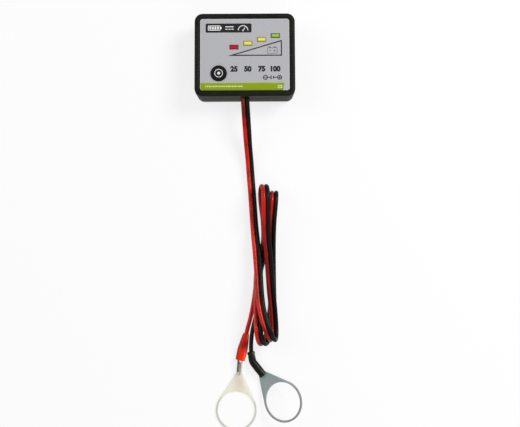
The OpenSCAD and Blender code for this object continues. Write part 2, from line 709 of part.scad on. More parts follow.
// Round boot bent at an elbow, with a collar where the wire goes in
module black_boot() color([0.08, 0.08, 0.07]) from_wall()
translate([black_elbow[0], black_elbow[1], barrel_z]) difference() {
    union() {
        sphere(barrel_z, $fn = round_fn);
        rotate([90, 0, black_boot_heading]) cylinder(black_boot_l, r = barrel_z, $fn = round_fn);
        rotate([-90, 0, black_neck_heading]) {
            cylinder(black_neck_l, r1 = barrel_z, d2 = black_boot_neck_d, $fn = round_fn);
            translate([0, 0, black_neck_l - collar_h])
                cylinder(collar_h, r = barrel_z, $fn = round_fn);
        }
    }
    sphere(wire_d / 2 + wire_gap, $fn = round_fn);
    rotate([90, 0, black_boot_heading])
        cylinder(black_boot_l + cut, r = barrel_d / 2 + wire_gap, $fn = round_fn);
    rotate([-90, 0, black_neck_heading])
        cylinder(black_neck_l + cut, r = wire_d / 2 + wire_gap, $fn = round_fn);
}

rear_housing();
front_cover();
face_label();
push_button();
switch_plunger();
switch_dome();
switch_base();
switch_frame();
circuit_board();
led_red();
led_yellow_low();
led_yellow_high();
led_green();
comparator_chip();
reference_chip();
bias_resistors();
protection_diode();
smoothing_capacitor();
solder_joints();
board_screws();
case_screws();
cable_tie();
inner_wire_red();
inner_wire_black();
twin_cable();
cable_hank();
red_lead();
black_lead();
red_boot();
black_boot();
red_ring_terminal();
black_ring_terminal();
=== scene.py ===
"""The looks of a battery tester: case, printed label, lamps, button, lead and ring terminals."""

import math

import bmesh
import bpy
from bpy.props import FloatProperty, FloatVectorProperty, IntProperty, PointerProperty
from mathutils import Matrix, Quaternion, Vector, noise


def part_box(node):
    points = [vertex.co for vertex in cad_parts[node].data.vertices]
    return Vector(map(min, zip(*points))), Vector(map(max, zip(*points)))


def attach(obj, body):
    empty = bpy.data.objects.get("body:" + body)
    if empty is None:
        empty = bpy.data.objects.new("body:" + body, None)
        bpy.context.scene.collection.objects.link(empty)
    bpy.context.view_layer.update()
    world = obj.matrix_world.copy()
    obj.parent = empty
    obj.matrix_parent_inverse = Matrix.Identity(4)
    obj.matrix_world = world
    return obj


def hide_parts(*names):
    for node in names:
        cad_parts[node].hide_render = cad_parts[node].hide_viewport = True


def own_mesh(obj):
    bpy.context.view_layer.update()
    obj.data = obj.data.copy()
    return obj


bl_info = {
    "name": "Battery tester",
    "version": (1, 0, 0),
    "blender": (4, 5, 0),
    "location": "3D View > Sidebar > Battery tester",
    "description": "Finishes the battery tester: case, label, lamps, button, lead and terminals",
    "category": "Object",
}

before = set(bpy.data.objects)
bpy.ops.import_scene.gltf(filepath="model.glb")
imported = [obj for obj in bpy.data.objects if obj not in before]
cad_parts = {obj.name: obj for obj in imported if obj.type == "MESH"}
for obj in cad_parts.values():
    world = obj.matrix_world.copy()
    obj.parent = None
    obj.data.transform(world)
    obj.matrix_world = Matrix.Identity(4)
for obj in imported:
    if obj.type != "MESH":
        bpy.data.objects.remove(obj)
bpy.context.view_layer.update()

MM = 0.001

# Levels and places that come from the frame
FRONT_LOW, FRONT_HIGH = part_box("front_cover")
LABEL_LOW, LABEL_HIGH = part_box("face_label")
BUTTON_LOW, BUTTON_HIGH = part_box("push_button")
BOARD_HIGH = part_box("circuit_board")[1]
LAMP_NODES = ["led_red", "led_yellow_low", "led_yellow_high", "led_green"]
RIM_Z = FRONT_HIGH.z
BOARD_Z = BOARD_HIGH.z
# Foot of the lead's way out, from which the routes are counted
FOOT = Vector((0, FRONT_LOW.y, 0))

# Twin lead from the bottom wall to the hank: its centre line, in millimetres
TWIN_ROUTE = [
    (0, 0, 12.5), (0, -1.5, 12.5), (0.3, -6, 11.8), (0.8, -14.5, 9.3),
    (1.5, -25.5, 5), (2.2, -33.5, 2.8), (2.9, -43.5, 1.9), (3.7, -54, 1.85),
    (4.5, -66.5, 2.5), (5.2, -75.5, 4.1), (6, -83.5, 5.8), (6.7, -92.5, 6.6),
]
# The hank: down the first run, round the bottom, up, round the top, and so on
HANK_ROUTE = [
    # first run down, sweeping over the others, and the fold at the bottom right
    (7.2, -100, 7.6), (7.6, -107.5, 9.3), (8.5, -116, 11.9), (10.2, -123.5, 13.8),
    (12, -128.9, 14.6), (13.8, -133.1, 13.2), (15, -134.7, 9), (15.6, -132.7, 5),
    # long run up through the middle, and the fold at the top left
    (15.7, -128.5, 4), (15.4, -122.5, 3.9), (14.9, -116, 4.4), (14, -107.1, 6),
    (13.5, -99, 6.6), (13, -92, 7.6), (12.4, -84.9, 8.6), (11.7, -77.2, 9.2),
    (11.4, -69, 11), (11.4, -61.5, 13.4), (11.3, -55.3, 14.3), (11, -50.7, 12.4),
    (10.3, -48.8, 7.8), (9.5, -50.7, 3.2),
    # down on the left, and the fold at the bottom left
    (9.4, -55.3, 1.3), (9.9, -60.5, 1.6), (10.7, -66.7, 3), (11.1, -76.9, 3.75),
    (10.6, -82.5, 3.75), (8.1, -90.4, 3.75), (7.2, -95.9, 3.75), (7, -107.1, 4.6),
    (6.6, -116, 7.2), (6.7, -123.5, 9.8), (7, -129, 12.2), (7.7, -134.1, 11.3),
    (9.6, -137.1, 6.6), (11.7, -134.4, 2.3),
    # up on the right, and the fold at the top right
    (12.7, -130, 1.3), (13.6, -123.5, 1.25), (14.7, -115.5, 1.25), (14.6, -107.2, 1.25),
    (14.5, -98.8, 2.2), (14.4, -90.4, 4.6), (14.4, -83.8, 6), (14.5, -77.1, 6.6),
    (14.8, -70, 8.2), (15.3, -63.5, 10.6), (15.8, -57.8, 12.1), (16, -53.9, 10.6),
    (16, -52.3, 6.7), (15.95, -53.9, 2.8),
    # last run, under the others, back to the left where the wires part
    (15.8, -57.8, 1.3), (15.3, -63.5, 1.25), (14.6, -70.6, 1.25), (13.2, -79.1, 1.25),
    (10.5, -85.8, 1.25), (8.1, -92, 1.25), (7, -97.7, 1.25),
]
# Each wire of the lead from the end of the hank to its boot
RED_ROUTE = [
    (5.2, -106.5, 1.3), (3.8, -116, 1.3), (2.2, -123.5, 1.3), (0.9, -128.1, 1.5),
    (0.1, -131.5, 1.7), (-1, -136, 1.8),
]
BLACK_ROUTE = [
    (7.4, -112.5, 1.3), (5.1, -123, 1.3), (3.4, -130.5, 1.3), (2.8, -136.5, 1.6),
    (2.8, -141.5, 1.95), (3.4, -145.1, 1.95),
]
# Step of the routes' points, how often they are relaxed, and how many a wire leaves the twin in
ROUTE_STEP = 0.8 * MM
ROUTE_PASSES = 14
PARTING_POINTS = 12
# The twin rolls a little on its first run: how far, and where that starts and ends
TWIN_ROLL = math.radians(28)
ROLL_STARTS = (12 * MM, 30 * MM)
ROLL_ENDS = (66 * MM, 86 * MM)
# Where the streak on each terminal's blade starts, at the neck, and a place that it heads for
RED_STREAK = (-4, -152.7), (-5.6, -173.5)
BLACK_STREAK = (7.8, -152), (21.8, -167.5)
# Band along the label's foot: its lower and upper edge
BAND_LOW, BAND_TOP = -20.3 * MM, -16 * MM
# A lamp's flange stands out round its window body, which is this tall
LAMP_FLANGE, LAMP_FLANGE_H, LAMP_BODY = 0.4 * MM, 0.8 * MM, 7.4 * MM
# The two rows of resistors: where the first starts, the line between them, how far the second is
# shifted, the step from one to the next, and the length of a body
RESISTOR_X, RESISTOR_ROW_Y, RESISTOR_SHIFT = -6 * MM, -7 * MM, 12.5 * MM
RESISTOR_PITCH, RESISTOR_BODY = 4.6 * MM, 2.2 * MM
# Stretch of the fine marks on metal
DRAWN_DOWN, DRAWN_ACROSS = (1, 1, 0.2), (1, 0.2, 1)
# The floor, and the distance from the origin past which it holds no shadow, in metres
FLOOR_SIZE, FLOOR_Z, FLOOR_CLEAR = 8, -0.02 * MM, 0.4
# Each light's place and size in metres, and the point that all of them face
LIGHTS = {
    "left": ((-0.8, 0.2, 0.62), 0.6),
    "right": ((0.62, 0.28, 0.66), 0.42),
    "low": ((0.25, -0.85, 0.42), 0.6),
}
LIGHT_AIM = Vector((0, -0.09, 0))


def at_foot(x, y, z=0):
    """A place given in millimetres from the lead's foot."""
    return FOOT + Vector((x, y, z)) * MM


def down_lead(*steps):
    """Levels along the lead, given in millimetres from its foot."""
    return [FOOT.y + step * MM for step in steps]


def shade(red, green, blue):
    """A colour written as a screen shows it, from 0 to 255, as the shader takes it."""
    levels = (red / 255, green / 255, blue / 255)
    return tuple(level / 12.92 if level <= 0.04045 else ((level + 0.055) / 1.055) ** 2.4
                 for level in levels)


def colour(name, red, green, blue, description=""):
    """A colour setting."""
    return FloatVectorProperty(
        name=name, description=description or f"Colour of the {name.lower()}",
        subtype="COLOR", size=3, min=0, max=1, default=shade(red, green, blue))


def length(name, default, description):
    """A length setting, in metres."""
    return FloatProperty(name=name, description=description, unit="LENGTH", default=default,
                         min=0, precision=5)


def power(name, default):
    """A light's power setting, in watts."""
    return FloatProperty(name=name, description=f"Power of the {name.lower()}", unit="POWER",
                         default=default, min=0)


# ---------------------------------------------------------------- settings

class CaseSettings(bpy.types.PropertyGroup):
    """Moulded shells, their screws and the printed label."""
    plastic: colour("Case plastic", 14, 14, 11)
    # Colour of the painted sheen on the rim and the painted light on the foot wall, and of real scuffs
    rubbed: colour("Rubbed plastic", 44, 44, 38, "Colour of the plastic where hands polish it")
    edge_round: length("Edge rounding", 0.00012, "Rounding of the shells' moulded edges")
    label: colour("Label film", 181, 181, 184)
    # Colour of the painted reflection along the label's chamfered edge
    label_edge: colour("Label edge", 206, 206, 208, "Colour of the cut edge of the label")
    band: colour("Label band", 138, 158, 24, "Colour of the band along the label's foot")
    # Colour of the painted highlight along the band's upper edge
    band_top: colour("Band top", 168, 190, 62, "Colour of the band's upper edge")
    ink: colour("Black ink", 22, 22, 25)
    pale_ink: colour("White ink", 236, 236, 232)
    grey_ink: colour("Grey ink", 112, 112, 118)
    film: length("Ink film", 0.00003, "Thickness of the printed ink")


class LampSettings(bpy.types.PropertyGroup):
    """The four lamps and the push button."""
    red: colour("Red lamp", 178, 16, 52)
    # Each lamp's rim colour is a darker tint for the painted shade round its bright core
    red_rim: colour("Red lamp rim", 142, 8, 34)
    yellow: colour("Yellow lamp", 238, 228, 92)
    yellow_rim: colour("Yellow lamp rim", 164, 158, 40)
    green: colour("Green lamp", 168, 190, 70)
    green_rim: colour("Green lamp rim", 84, 112, 26)
    lens_round: length("Lens rounding", 0.00022, "Rounding of the lamps' moulded edges")
    button: colour("Button", 12, 12, 15)
    button_mark: colour("Button mark", 232, 232, 230)


class LeadSettings(bpy.types.PropertyGroup):
    """The twin lead, the boots and the ring terminals."""
    wire_d: length("Wire diameter", 0.0024, "Diameter of one insulated wire of the twin lead")
    wire_sides: IntProperty(name="Wire sides", description="Roundness of the wires",
                            default=7, min=1, max=12)
    red: colour("Red insulation", 196, 8, 5)
    red_shine: colour("Red shine", 255, 153, 124, "Tint of the gloss on the red vinyl")
    # Deeper red for random patches, and for the painted shade by the case and in the hank
    red_deep: colour("Deep red", 84, 0, 10, "Red insulation where nothing has rubbed it")
    black: colour("Black insulation", 13, 13, 9)
    red_boot: colour("Red boot", 236, 38, 10)
    # Colour of the painted shade in the red boot's fold and on its left side
    red_boot_fold: colour("Red boot fold", 132, 8, 8, "Deeper colour in the fold of the red boot")
    # Colour of the painted highlight along the red boot's right side
    red_boot_worn: colour("Worn red boot", 250, 104, 66)
    black_boot: colour("Black boot", 12, 12, 5)
    # Colour of the painted highlight along the black boot's right side
    black_boot_worn: colour("Worn black boot", 96, 96, 82)
    bright_tin: colour("Bright tin", 238, 236, 216)
    warm_tin: colour("Warm tin", 228, 208, 188)
    bright_rim: colour("Bright rim", 204, 206, 197)
    grey_tin: colour("Grey tin", 141, 159, 156)
    purple_tin: colour("Purple tin", 160, 150, 163)
    grey_rim: colour("Grey rim", 143, 141, 147)
    sheet_edge: colour("Sheet edge", 182, 182, 180)


class StageSettings(bpy.types.PropertyGroup):
    """Camera, floor and lights."""
    eye: FloatVectorProperty(name="Eye", description="Place of the camera", subtype="TRANSLATION",
                             default=(0.0079, -0.1203, 0.3918), precision=4)
    tilt: FloatProperty(name="Tilt", description="Lean of the view towards the case",
                        subtype="ANGLE", default=math.radians(4.8))
    roll: FloatProperty(name="Roll", description="Turn of the picture", subtype="ANGLE",
                        default=math.radians(-0.27))
    lens: FloatProperty(name="Lens", description="Focal length of the camera",
                        unit="CAMERA", default=47.84, min=10)
    floor: colour("Floor", 250, 250, 250)
    floor_glow: FloatProperty(name="Floor glow", subtype="FACTOR", default=0.78, min=0, max=1,
                              description="Share of plain white in the floor that the camera sees")
    sky: colour("Sky", 126, 127, 128, "Colour of the light that comes from all round")
    left_power: power("Left light", 3.4)
    right_power: power("Right light", 7.0)
    low_power: power("Low light", 2.3)


SETTINGS = {
    "tester_case": CaseSettings,
    "tester_lamps": LampSettings,
    "tester_lead": LeadSettings,
    "tester_stage": StageSettings,
}


# ---------------------------------------------------------------- finishes

def maths(operation, swapped=False):
    """An operator of Value that adds one Math node."""
    def operator(self, other):
        pair = (other, self) if swapped else (self, other)
        return self.math(operation, *pair)
    return operator


class Value:
    """A node's output. Arithmetic on it adds Math nodes; | is the greater and & the lesser."""

    def __init__(self, graph, socket):
        self.graph = graph
        self.socket = socket

    def math(self, operation, *values):
        return self.graph.node("ShaderNodeMath", {"operation": operation}, dict(enumerate(values)))

    __add__ = __radd__ = maths("ADD")
    __sub__ = maths("SUBTRACT")
    __rsub__ = maths("SUBTRACT", swapped=True)
    __mul__ = __rmul__ = maths("MULTIPLY")
    __pow__ = maths("POWER")
    __or__ = maths("MAXIMUM")
    __and__ = maths("MINIMUM")
    __gt__ = maths("GREATER_THAN")
    __lt__ = maths("LESS_THAN")

    def __abs__(self):
        return self.math("ABSOLUTE", self)

    def wrap(self, low, high):
        """The value brought between two levels, again and again."""
        return self.math("WRAP", self, high, low)


class Graph:
    """The nodes of a material or of the world."""

    def __init__(self, owner):
        owner.use_nodes = True
        self.tree = owner.node_tree

    def put(self, socket, value):
        """Links a value to a socket, or sets the socket to a number or a colour."""
        if isinstance(value, Value):
            self.tree.links.new(value.socket, socket)
        elif socket.type == "RGBA":
            socket.default_value = (*value[:3], 1)
        else:
            socket.default_value = value

    def node(self, kind, settings=None, values=None, output=0):
        """Adds a node with its settings, then the values or links of its sockets."""
        node = self.tree.nodes.new(kind)
        for name, setting in (settings or {}).items():
            setattr(node, name, setting)
        for name, value in (values or {}).items():
            self.put(node.inputs[name], value)
        return Value(self, node.outputs[output])

    def mix(self, share, first, second):
        """A colour between two others."""
        return self.node("ShaderNodeMix", {"data_type": "RGBA"},
                         {0: share, 6: first, 7: second}, output=2)

    def seen(self):
        """1 where the camera looks straight at a thing, by reflection or through glass."""
        rays = self.node("ShaderNodeLightPath").socket.node.outputs
        camera, glossy, through = (
            Value(self, rays[f"Is {kind} Ray"]) for kind in ("Camera", "Glossy", "Transmission"))
        return camera | glossy | through


class Finish(Graph):
    """A material on one Principled shader, whose constants sit on the shader's own sockets."""

    def __init__(self, name, metallic=0.0, specular=0.5, shine=(1, 1, 1), coat_roughness=0.1):
        self.material = bpy.data.materials.new(name)
        super().__init__(self.material)
        self.shader = self.tree.nodes["Principled BSDF"]
        self.put(self.shader.inputs["Metallic"], metallic)
        self.put(self.shader.inputs["Specular IOR Level"], specular)
        self.put(self.shader.inputs["Specular Tint"], shine)
        self.put(self.shader.inputs["Coat Roughness"], coat_roughness)
        self.place = self.node("ShaderNodeTexCoord", output="Object")

    def axes(self, vector=None):
        """The three numbers of a vector, or of the point's own place."""
        split = self.node("ShaderNodeSeparateXYZ", None, {"Vector": vector or self.place})
        return [Value(self, socket) for socket in split.socket.node.outputs]

    def facing(self):
        """The three numbers of the direction that the surface faces."""
        return self.axes(self.node("ShaderNodeNewGeometry", output="Normal"))

    def stretched(self, scale, turn=(0, 0, 0)):
        """The point's place, turned and stretched, for a pattern that runs one way."""
        return self.node("ShaderNodeMapping", None,
                         {"Vector": self.place, "Rotation": turn, "Scale": scale})

    def noise(self, size, detail=2, vector=None):
        """Soft noise from 0 to 1 whose blotches are about this size, in millimetres."""
        return self.node("ShaderNodeTexNoise", None, {
            "Vector": vector or self.place, "Scale": 1 / (size * MM), "Detail": detail})

    def rise(self, value, low, high):
        """0 below low, 1 above high and smooth between them."""
        return self.node("ShaderNodeMapRange", {"interpolation_type": "SMOOTHSTEP"},
                         {"Value": value, "From Min": low, "From Max": high})

    def dress(self, base, rough, metallic=None, coat=0.0, height=None, depth=0.0):
        """Sets what varies over the surface: colour, gloss, metal, lacquer, and relief whose
        depth is in millimetres."""
        self.put(self.shader.inputs["Base Color"], base)
        self.put(self.shader.inputs["Roughness"], rough)
        self.put(self.shader.inputs["Coat Weight"], coat)
        if metallic is not None:
            self.put(self.shader.inputs["Metallic"], metallic)
        if height is not None:
            normal = self.node("ShaderNodeBump", None, {"Height": height, "Distance": depth * MM})
            self.put(self.shader.inputs["Normal"], normal)
        return self.material


def darker(tint, share):
    """A colour brought towards black."""
    return tuple(level * share for level in tint)


def case_plastic(case):
    """Moulded black plastic: spark-eroded grain and scuffs, a painted sheen along the rim, and
    painted light on the wall at its foot.
    """
    finish = Finish("case_plastic", specular=0.07)
    grain = finish.noise(0.16, detail=3)
    mottle = finish.noise(7, detail=3)
    scuffs = finish.noise(1.2, detail=4, vector=finish.stretched((1, 6, 1), (0, 0, 0.5)))
    # Painted highlight: a paler, mottled band along the top of the rim. Painted light: the wall that
    # faces down the lead made paler. rubbed carries both; the scuff marks add real wear in the same
    # colour.
    rim = finish.rise(finish.axes()[2], RIM_Z - 0.7 * MM, RIM_Z)
    painted_wall_light = 1 - finish.rise(finish.facing()[1], -0.95, -0.6)
    rubbed = (rim * 0.4 * finish.rise(mottle, 0.25, 0.65)) | (painted_wall_light * (0.45 + 0.4 * mottle))
    marks = finish.rise(scuffs, 0.66, 0.74)
    tint = finish.mix(rubbed * 0.8 + marks * 0.25, case.plastic, case.rubbed)
    return finish.dress(tint, 0.42 + 0.12 * mottle + 0.1 * grain - 0.06 * rubbed,
                        height=grain + 0.3 * marks, depth=0.012)


def label_film(case):
    """Silver-grey polyester film with a fine satin grain and a painted reflection along its edge."""
    finish = Finish("label_film", specular=0.2)
    x, y, _ = finish.axes()
    satin = finish.noise(0.12)
    cloud = finish.noise(12)
    # Painted reflection: a paler band along the label's edge, where its chamfer would catch the light
    inset = (LABEL_HIGH.x - abs(x)) & (LABEL_HIGH.y - abs(y))
    edge = 1 - finish.rise(inset, 0.15 * MM, 0.45 * MM)
    face = finish.mix(cloud * 0.5 + satin * 0.5, darker(case.label, 0.95), case.label)
    return finish.dress(finish.mix(edge * 0.8, face, case.label_edge),
                        0.42 + 0.12 * satin, height=satin + 0.6 * cloud, depth=0.004)


def band_ink(case):
    """Green ink with a painted highlight along its upper edge and painted shade along its foot,
    printed unevenly.
    """
    finish = Finish("band_ink", specular=0.15)
    y = finish.axes()[1]
    screen = finish.noise(0.3)
    cloud = finish.noise(5)
    # Painted highlight along the upper edge, and painted shade along the foot
    top = finish.rise(y, BAND_TOP - 1.1 * MM, BAND_TOP)
    shadow = 1 - finish.rise(y, BAND_LOW, BAND_LOW + 1.2 * MM)
    green = finish.mix(top * 0.8 * cloud, case.band, case.band_top)
    green = finish.mix(shadow * 0.35 + screen * 0.12, green, darker(case.band, 0.45))
    return finish.dress(green, 0.4 + 0.1 * screen, height=screen, depth=0.003)


def printed_ink(name, tint):
    """Screen-printed ink, with a faint mottle."""
    finish = Finish(name, specular=0.15)
    screen = finish.noise(0.22)
    cloud = finish.noise(2.5)
    ink = finish.mix(cloud * 0.35, tint, tuple(0.85 * level + 0.03 for level in tint))
    return finish.dress(ink, 0.34 + 0.16 * screen, height=screen, depth=0.003)


def lamp_epoxy(name, low, high, core, rim):
    """Tinted epoxy: a bright core under the window, a rim darkened by painted shade, tinned legs."""
    finish = Finish(name, specular=0.15, coat_roughness=0.08)
    x, y, z = finish.axes()
    centre, half = (low + high) / 2, (high - low) / 2
    inset = (half.x - LAMP_FLANGE - abs(x - centre.x)) & (half.y - LAMP_FLANGE - abs(y - centre.y))
    # Painted shade: the rim darker than the bright core under the window
    bright = finish.rise(inset, 0.2 * MM, 0.75 * MM)
    cloud = finish.noise(1.1)
    tint = finish.mix(bright * (0.85 + 0.3 * cloud), rim, core)
    legs = z < high.z - LAMP_BODY
    pebble = finish.noise(0.25)
    return finish.dress(finish.mix(legs, tint, shade(200, 200, 196)),
                        0.24 + 0.14 * pebble, metallic=legs, coat=0.1, height=pebble,
                        depth=0.006)


def button_plastic(lamps):
    """Satin black plastic, more polished where a finger presses."""
    finish = Finish("button_plastic", specular=0.1)
    x, y, _ = finish.axes()
    centre = (BUTTON_LOW + BUTTON_HIGH) / 2
    reach = ((x - centre.x) ** 2 + (y - centre.y) ** 2) ** 0.5
    worn = 1 - finish.rise(reach, 1.5 * MM, 4 * MM)
    grain = finish.noise(0.14)
    tint = finish.mix(worn * 0.25, lamps.button, darker(lamps.button, 1.8))
    return finish.dress(tint, 0.42 - 0.12 * worn + 0.1 * grain, height=grain, depth=0.008)


def insulation(name, tint, deep, gloss, specular, shine=(1, 1, 1)):
    """Soft PVC insulation: extruder ripples, random deeper patches, and painted shade: the case's
    shadow by its foot, and shade low in the hank and at its lower folds."""
    finish = Finish(name, specular=specular, shine=shine, coat_roughness=0.2)
    x, y, z = finish.axes()
    cloud = finish.noise(9, detail=3)
    ripple = finish.noise(0.9, vector=finish.stretched((1, 0.35, 1)))
    dust = finish.rise(finish.noise(0.35, detail=3), 0.66, 0.8)
    # Painted shade: the case's shadow over the lead by its foot, and shade low in the hank and at its
    # lower folds where the strands shelter each other; the random brighter patches show only outside
    # it.
    case_shadow = finish.rise(y, *down_lead(-15, -9))
    low = 1 - finish.rise(z, 8 * MM, 14 * MM)
    lower_fold_shade = 1 - finish.rise(y, *down_lead(-130, -120))
    hank_shade = finish.rise(x, 5 * MM, 8 * MM) * (low | lower_fold_shade)
    rubbed_and_lit = finish.rise(cloud, 0.2, 0.55) * (1 - (case_shadow | hank_shade * 0.85))
    vinyl = finish.mix(rubbed_and_lit, deep, tint)
    vinyl = finish.mix(dust * 0.05, vinyl, shade(150, 130, 120))
    return finish.dress(vinyl, 0.3 + 0.08 * ripple + 0.2 * dust, coat=gloss * rubbed_and_lit,
                        height=ripple + 0.4 * dust, depth=0.01)


def boot_vinyl(name, body, fold, worn, low, high, gloss, specular, shine=(1, 1, 1)):
    """Dipped vinyl with painted shade in the fold between two levels and on its left side, and a
    painted highlight along the creases of its right side.
    """
    finish = Finish(name, specular=specular, shine=shine, coat_roughness=0.3)
    cloud = finish.noise(3, detail=3)
    skin = finish.noise(0.3, detail=3)
    soft = 2 * MM
    # Painted shade: darker in the fold between the two levels, whose edges wander with the cloud
    here = finish.axes()[1] + (cloud - 0.5) * soft
    above = finish.rise(here, low - soft, low + soft)
    folded = above * (1 - finish.rise(here, high - soft, high + soft))
    # Painted shade on the side facing left, and a painted highlight in the worn colour along the
    # creases of the side facing right
    across = finish.facing()[0]
    left_shade = 1 - finish.rise(across, -0.75, -0.1)
    creases = finish.noise(0.9, vector=finish.stretched((1, 0.25, 1), (0, 0, -0.6)))
    rubbed = finish.rise(across, 0.15, 0.65) * finish.rise(creases, 0.3, 0.55)
    vinyl = finish.mix((folded * 0.75) | (left_shade * 0.8), body, fold)
    return finish.dress(finish.mix(rubbed * (1 - folded), vinyl, worn),
                        0.28 + 0.1 * skin + 0.08 * cloud, coat=gloss * cloud,
                        height=skin + 0.5 * cloud, depth=0.02)


def tinned_sheet(name, tint, tinge, edge, rim, streak, metal):
    """Tin-plated sheet: a soft streak down the blade, a greyer rim round the eye, sheared edges,
    scratches, and a crimp barrel painted pale, with a painted shadow along its left."""
    finish = Finish(name)
    x, y, _ = finish.axes()
    neck, eye = (at_foot(*point) for point in streak)
    way = (eye - neck).normalized()
    down = (x - neck.x) * way.x + (y - neck.y) * way.y
    off = (y - neck.y) * way.x - (x - neck.x) * way.y
    cloud = finish.noise(6, detail=3)
    scratches = finish.noise(0.5, detail=4, vector=finish.stretched((1, 0.12, 1), (0, 0, 0.3)))
    streaked = (1 - finish.rise(abs(off), 0.8 * MM, 4.2 * MM)) * finish.rise(cloud, 0.25, 0.65)
    round_eye = finish.rise(down, 12 * MM, 17 * MM)
    # Painted light: the crimp barrel's trough made pale; painted shadow: a dark strip along its left
    # side
    barrel = 1 - finish.rise(down, -0.6 * MM, 0.4 * MM)
    barrel_shadow = barrel * (1 - finish.rise(off, -0.7 * MM, 0.1 * MM))
    side = 1 - finish.rise(abs(finish.facing()[2]), 0.35, 0.75)
    face = finish.mix(streaked * 0.8, tint, tinge)
    face = finish.mix(round_eye, face, rim)
    face = finish.mix(barrel, face, shade(250, 236, 224))
    face = finish.mix(barrel_shadow, face, shade(30, 32, 20))
    face = finish.mix(finish.rise(scratches, 0.55, 0.7) * 0.15, face, edge)
    return finish.dress(finish.mix(side, face, edge), 0.36 + 0.14 * scratches,
                        metallic=metal + 0.2 * side, height=scratches, depth=0.004)


def bare_metal(name, tint, rough, size, stretch=DRAWN_DOWN):
    """Plated or drawn metal with fine marks that run one way."""
    finish = Finish(name, metallic=1.0)
    marks = finish.noise(size, detail=3, vector=finish.stretched(stretch))
    cloud = finish.noise(4)
    metal = finish.mix(cloud * 0.5, tint, darker(tint, 0.8))
    return finish.dress(metal, rough + 0.2 * marks, height=marks, depth=0.005)


def board_laminate():
    """Green solder mask over copper tracks, with bare yellow laminate at the cut edge."""
    finish = Finish("board_laminate")
    x, y, _ = finish.axes()
    tracks = finish.node("ShaderNodeTexBrick", {"offset": 0.5, "squash": 1.4},
                         {"Vector": finish.place, "Scale": 1 / (5 * MM), "Mortar Size": 0.06,
                          "Mortar Smooth": 0.1, "Color1": (0, 0, 0), "Color2": (0.1, 0.1, 0.1),
                          "Mortar": (1, 1, 1)}, output="Fac")
    weave = finish.noise(0.5)
    inset = (BOARD_HIGH.x - abs(x)) & (BOARD_HIGH.y - abs(y))
    cut = 1 - finish.rise(inset, 0.02 * MM, 0.12 * MM)
    mask = finish.mix(tracks * 0.7, shade(18, 92, 48), shade(46, 128, 62))
    mask = finish.mix(weave * 0.2, mask, shade(10, 60, 32))
    return finish.dress(finish.mix(cut, mask, shade(178, 164, 96)), 0.28 + 0.2 * weave,
                        height=tracks + 0.3 * weave, depth=0.02)


def package(name, leads, tint):
    """Moulded package whose leads are tinned: leads gives their mask."""
    finish = Finish(name, specular=0.4)
    metal = leads(*finish.axes())
    grain = finish.noise(0.12)
    return finish.dress(finish.mix(metal, tint, shade(205, 205, 200)),
                        0.5 - 0.25 * metal + 0.15 * grain, metallic=metal, height=grain,
                        depth=0.01)


def outside_box(centre, half_x, half_y, floor):
    """A mask that is 1 outside a box round a point, and below a level where one is given."""
    def mask(x, y, z):
        out = (abs(x - centre.x) > half_x) | (abs(y - centre.y) > half_y)
        return out if floor is None else out | (z < floor)
    return mask


def resistor_ends(x, y, z):
    """A mask that is 1 at the tinned ends of each resistor of the two rows."""
    shift = (y < RESISTOR_ROW_Y) * RESISTOR_SHIFT
    half = RESISTOR_PITCH / 2
    return abs((x - RESISTOR_X - shift).wrap(-half, half)) > RESISTOR_BODY / 2


def no_leads(x, y, z):
    """A mask that is 0 on all that stands above the table."""
    return z < 0.0


def nylon():
    """Milky nylon with a moulded sheen."""
    finish = Finish("nylon")
    cloud = finish.noise(1.5)
    return finish.dress(finish.mix(cloud, shade(214, 212, 202), shade(232, 231, 224)),
                        0.35 + 0.15 * cloud, height=cloud, depth=0.02)


def inner_insulation(name, tint, deep):
    """Insulation that ends just above the board, where the tinned core goes down."""
    finish = Finish(name)
    core = finish.axes()[2] < BOARD_Z + 0.19 * MM
    cloud = finish.noise(3)
    tube = finish.mix(cloud, deep, tint)
    return finish.dress(finish.mix(core, tube, shade(206, 160, 120)), 0.3 + 0.15 * cloud,
                        metallic=core, height=cloud, depth=0.03)


def floor_paint(stage):
    """Pale matt floor that keeps the shadow; what the camera sees of it is nearer to white, and
    plain white far off."""
    finish = Finish("floor_paint", specular=0.2)
    x, y, _ = finish.axes()
    far_off = finish.rise((x * x + y * y) ** 0.5, FLOOR_CLEAR, 2 * FLOOR_CLEAR)
    tone = finish.noise(400)
    finish.dress(finish.mix(tone * 0.1, stage.floor, darker(stage.floor, 0.98)), 0.7)
    white = finish.node("ShaderNodeEmission", None, {"Color": (1, 1, 1), "Strength": 1.0})
    painted = Value(finish, finish.shader.outputs[0])
    mixed = finish.node("ShaderNodeMixShader", None, {
        0: finish.seen() * (far_off | stage.floor_glow), 1: painted, 2: white})
    finish.put(finish.tree.nodes["Material Output"].inputs["Surface"], mixed)
    return finish.material


def sky_dome(stage):
    """Even light from all round, which the camera sees as plain white."""
    world = bpy.data.worlds.new("sky")
    sky = Graph(world)
    sky.put(sky.tree.nodes["Background"].inputs["Color"],
            sky.mix(sky.seen(), stage.sky, (1, 1, 1)))
    return world


# ---------------------------------------------------------------- modelling by hand, in code

def rest_hands():
    """Leaves edit mode and selects nothing, so that an operator acts on the next piece alone."""
    if bpy.context.mode != "OBJECT":
        bpy.ops.object.mode_set(mode="OBJECT")
    bpy.ops.object.select_all(action="DESELECT")


def take(*pieces):
    """Selects these pieces alone; the first is the active one."""
    rest_hands()
    for piece in pieces:
        piece.select_set(True)
    bpy.context.view_layer.objects.active = pieces[0]


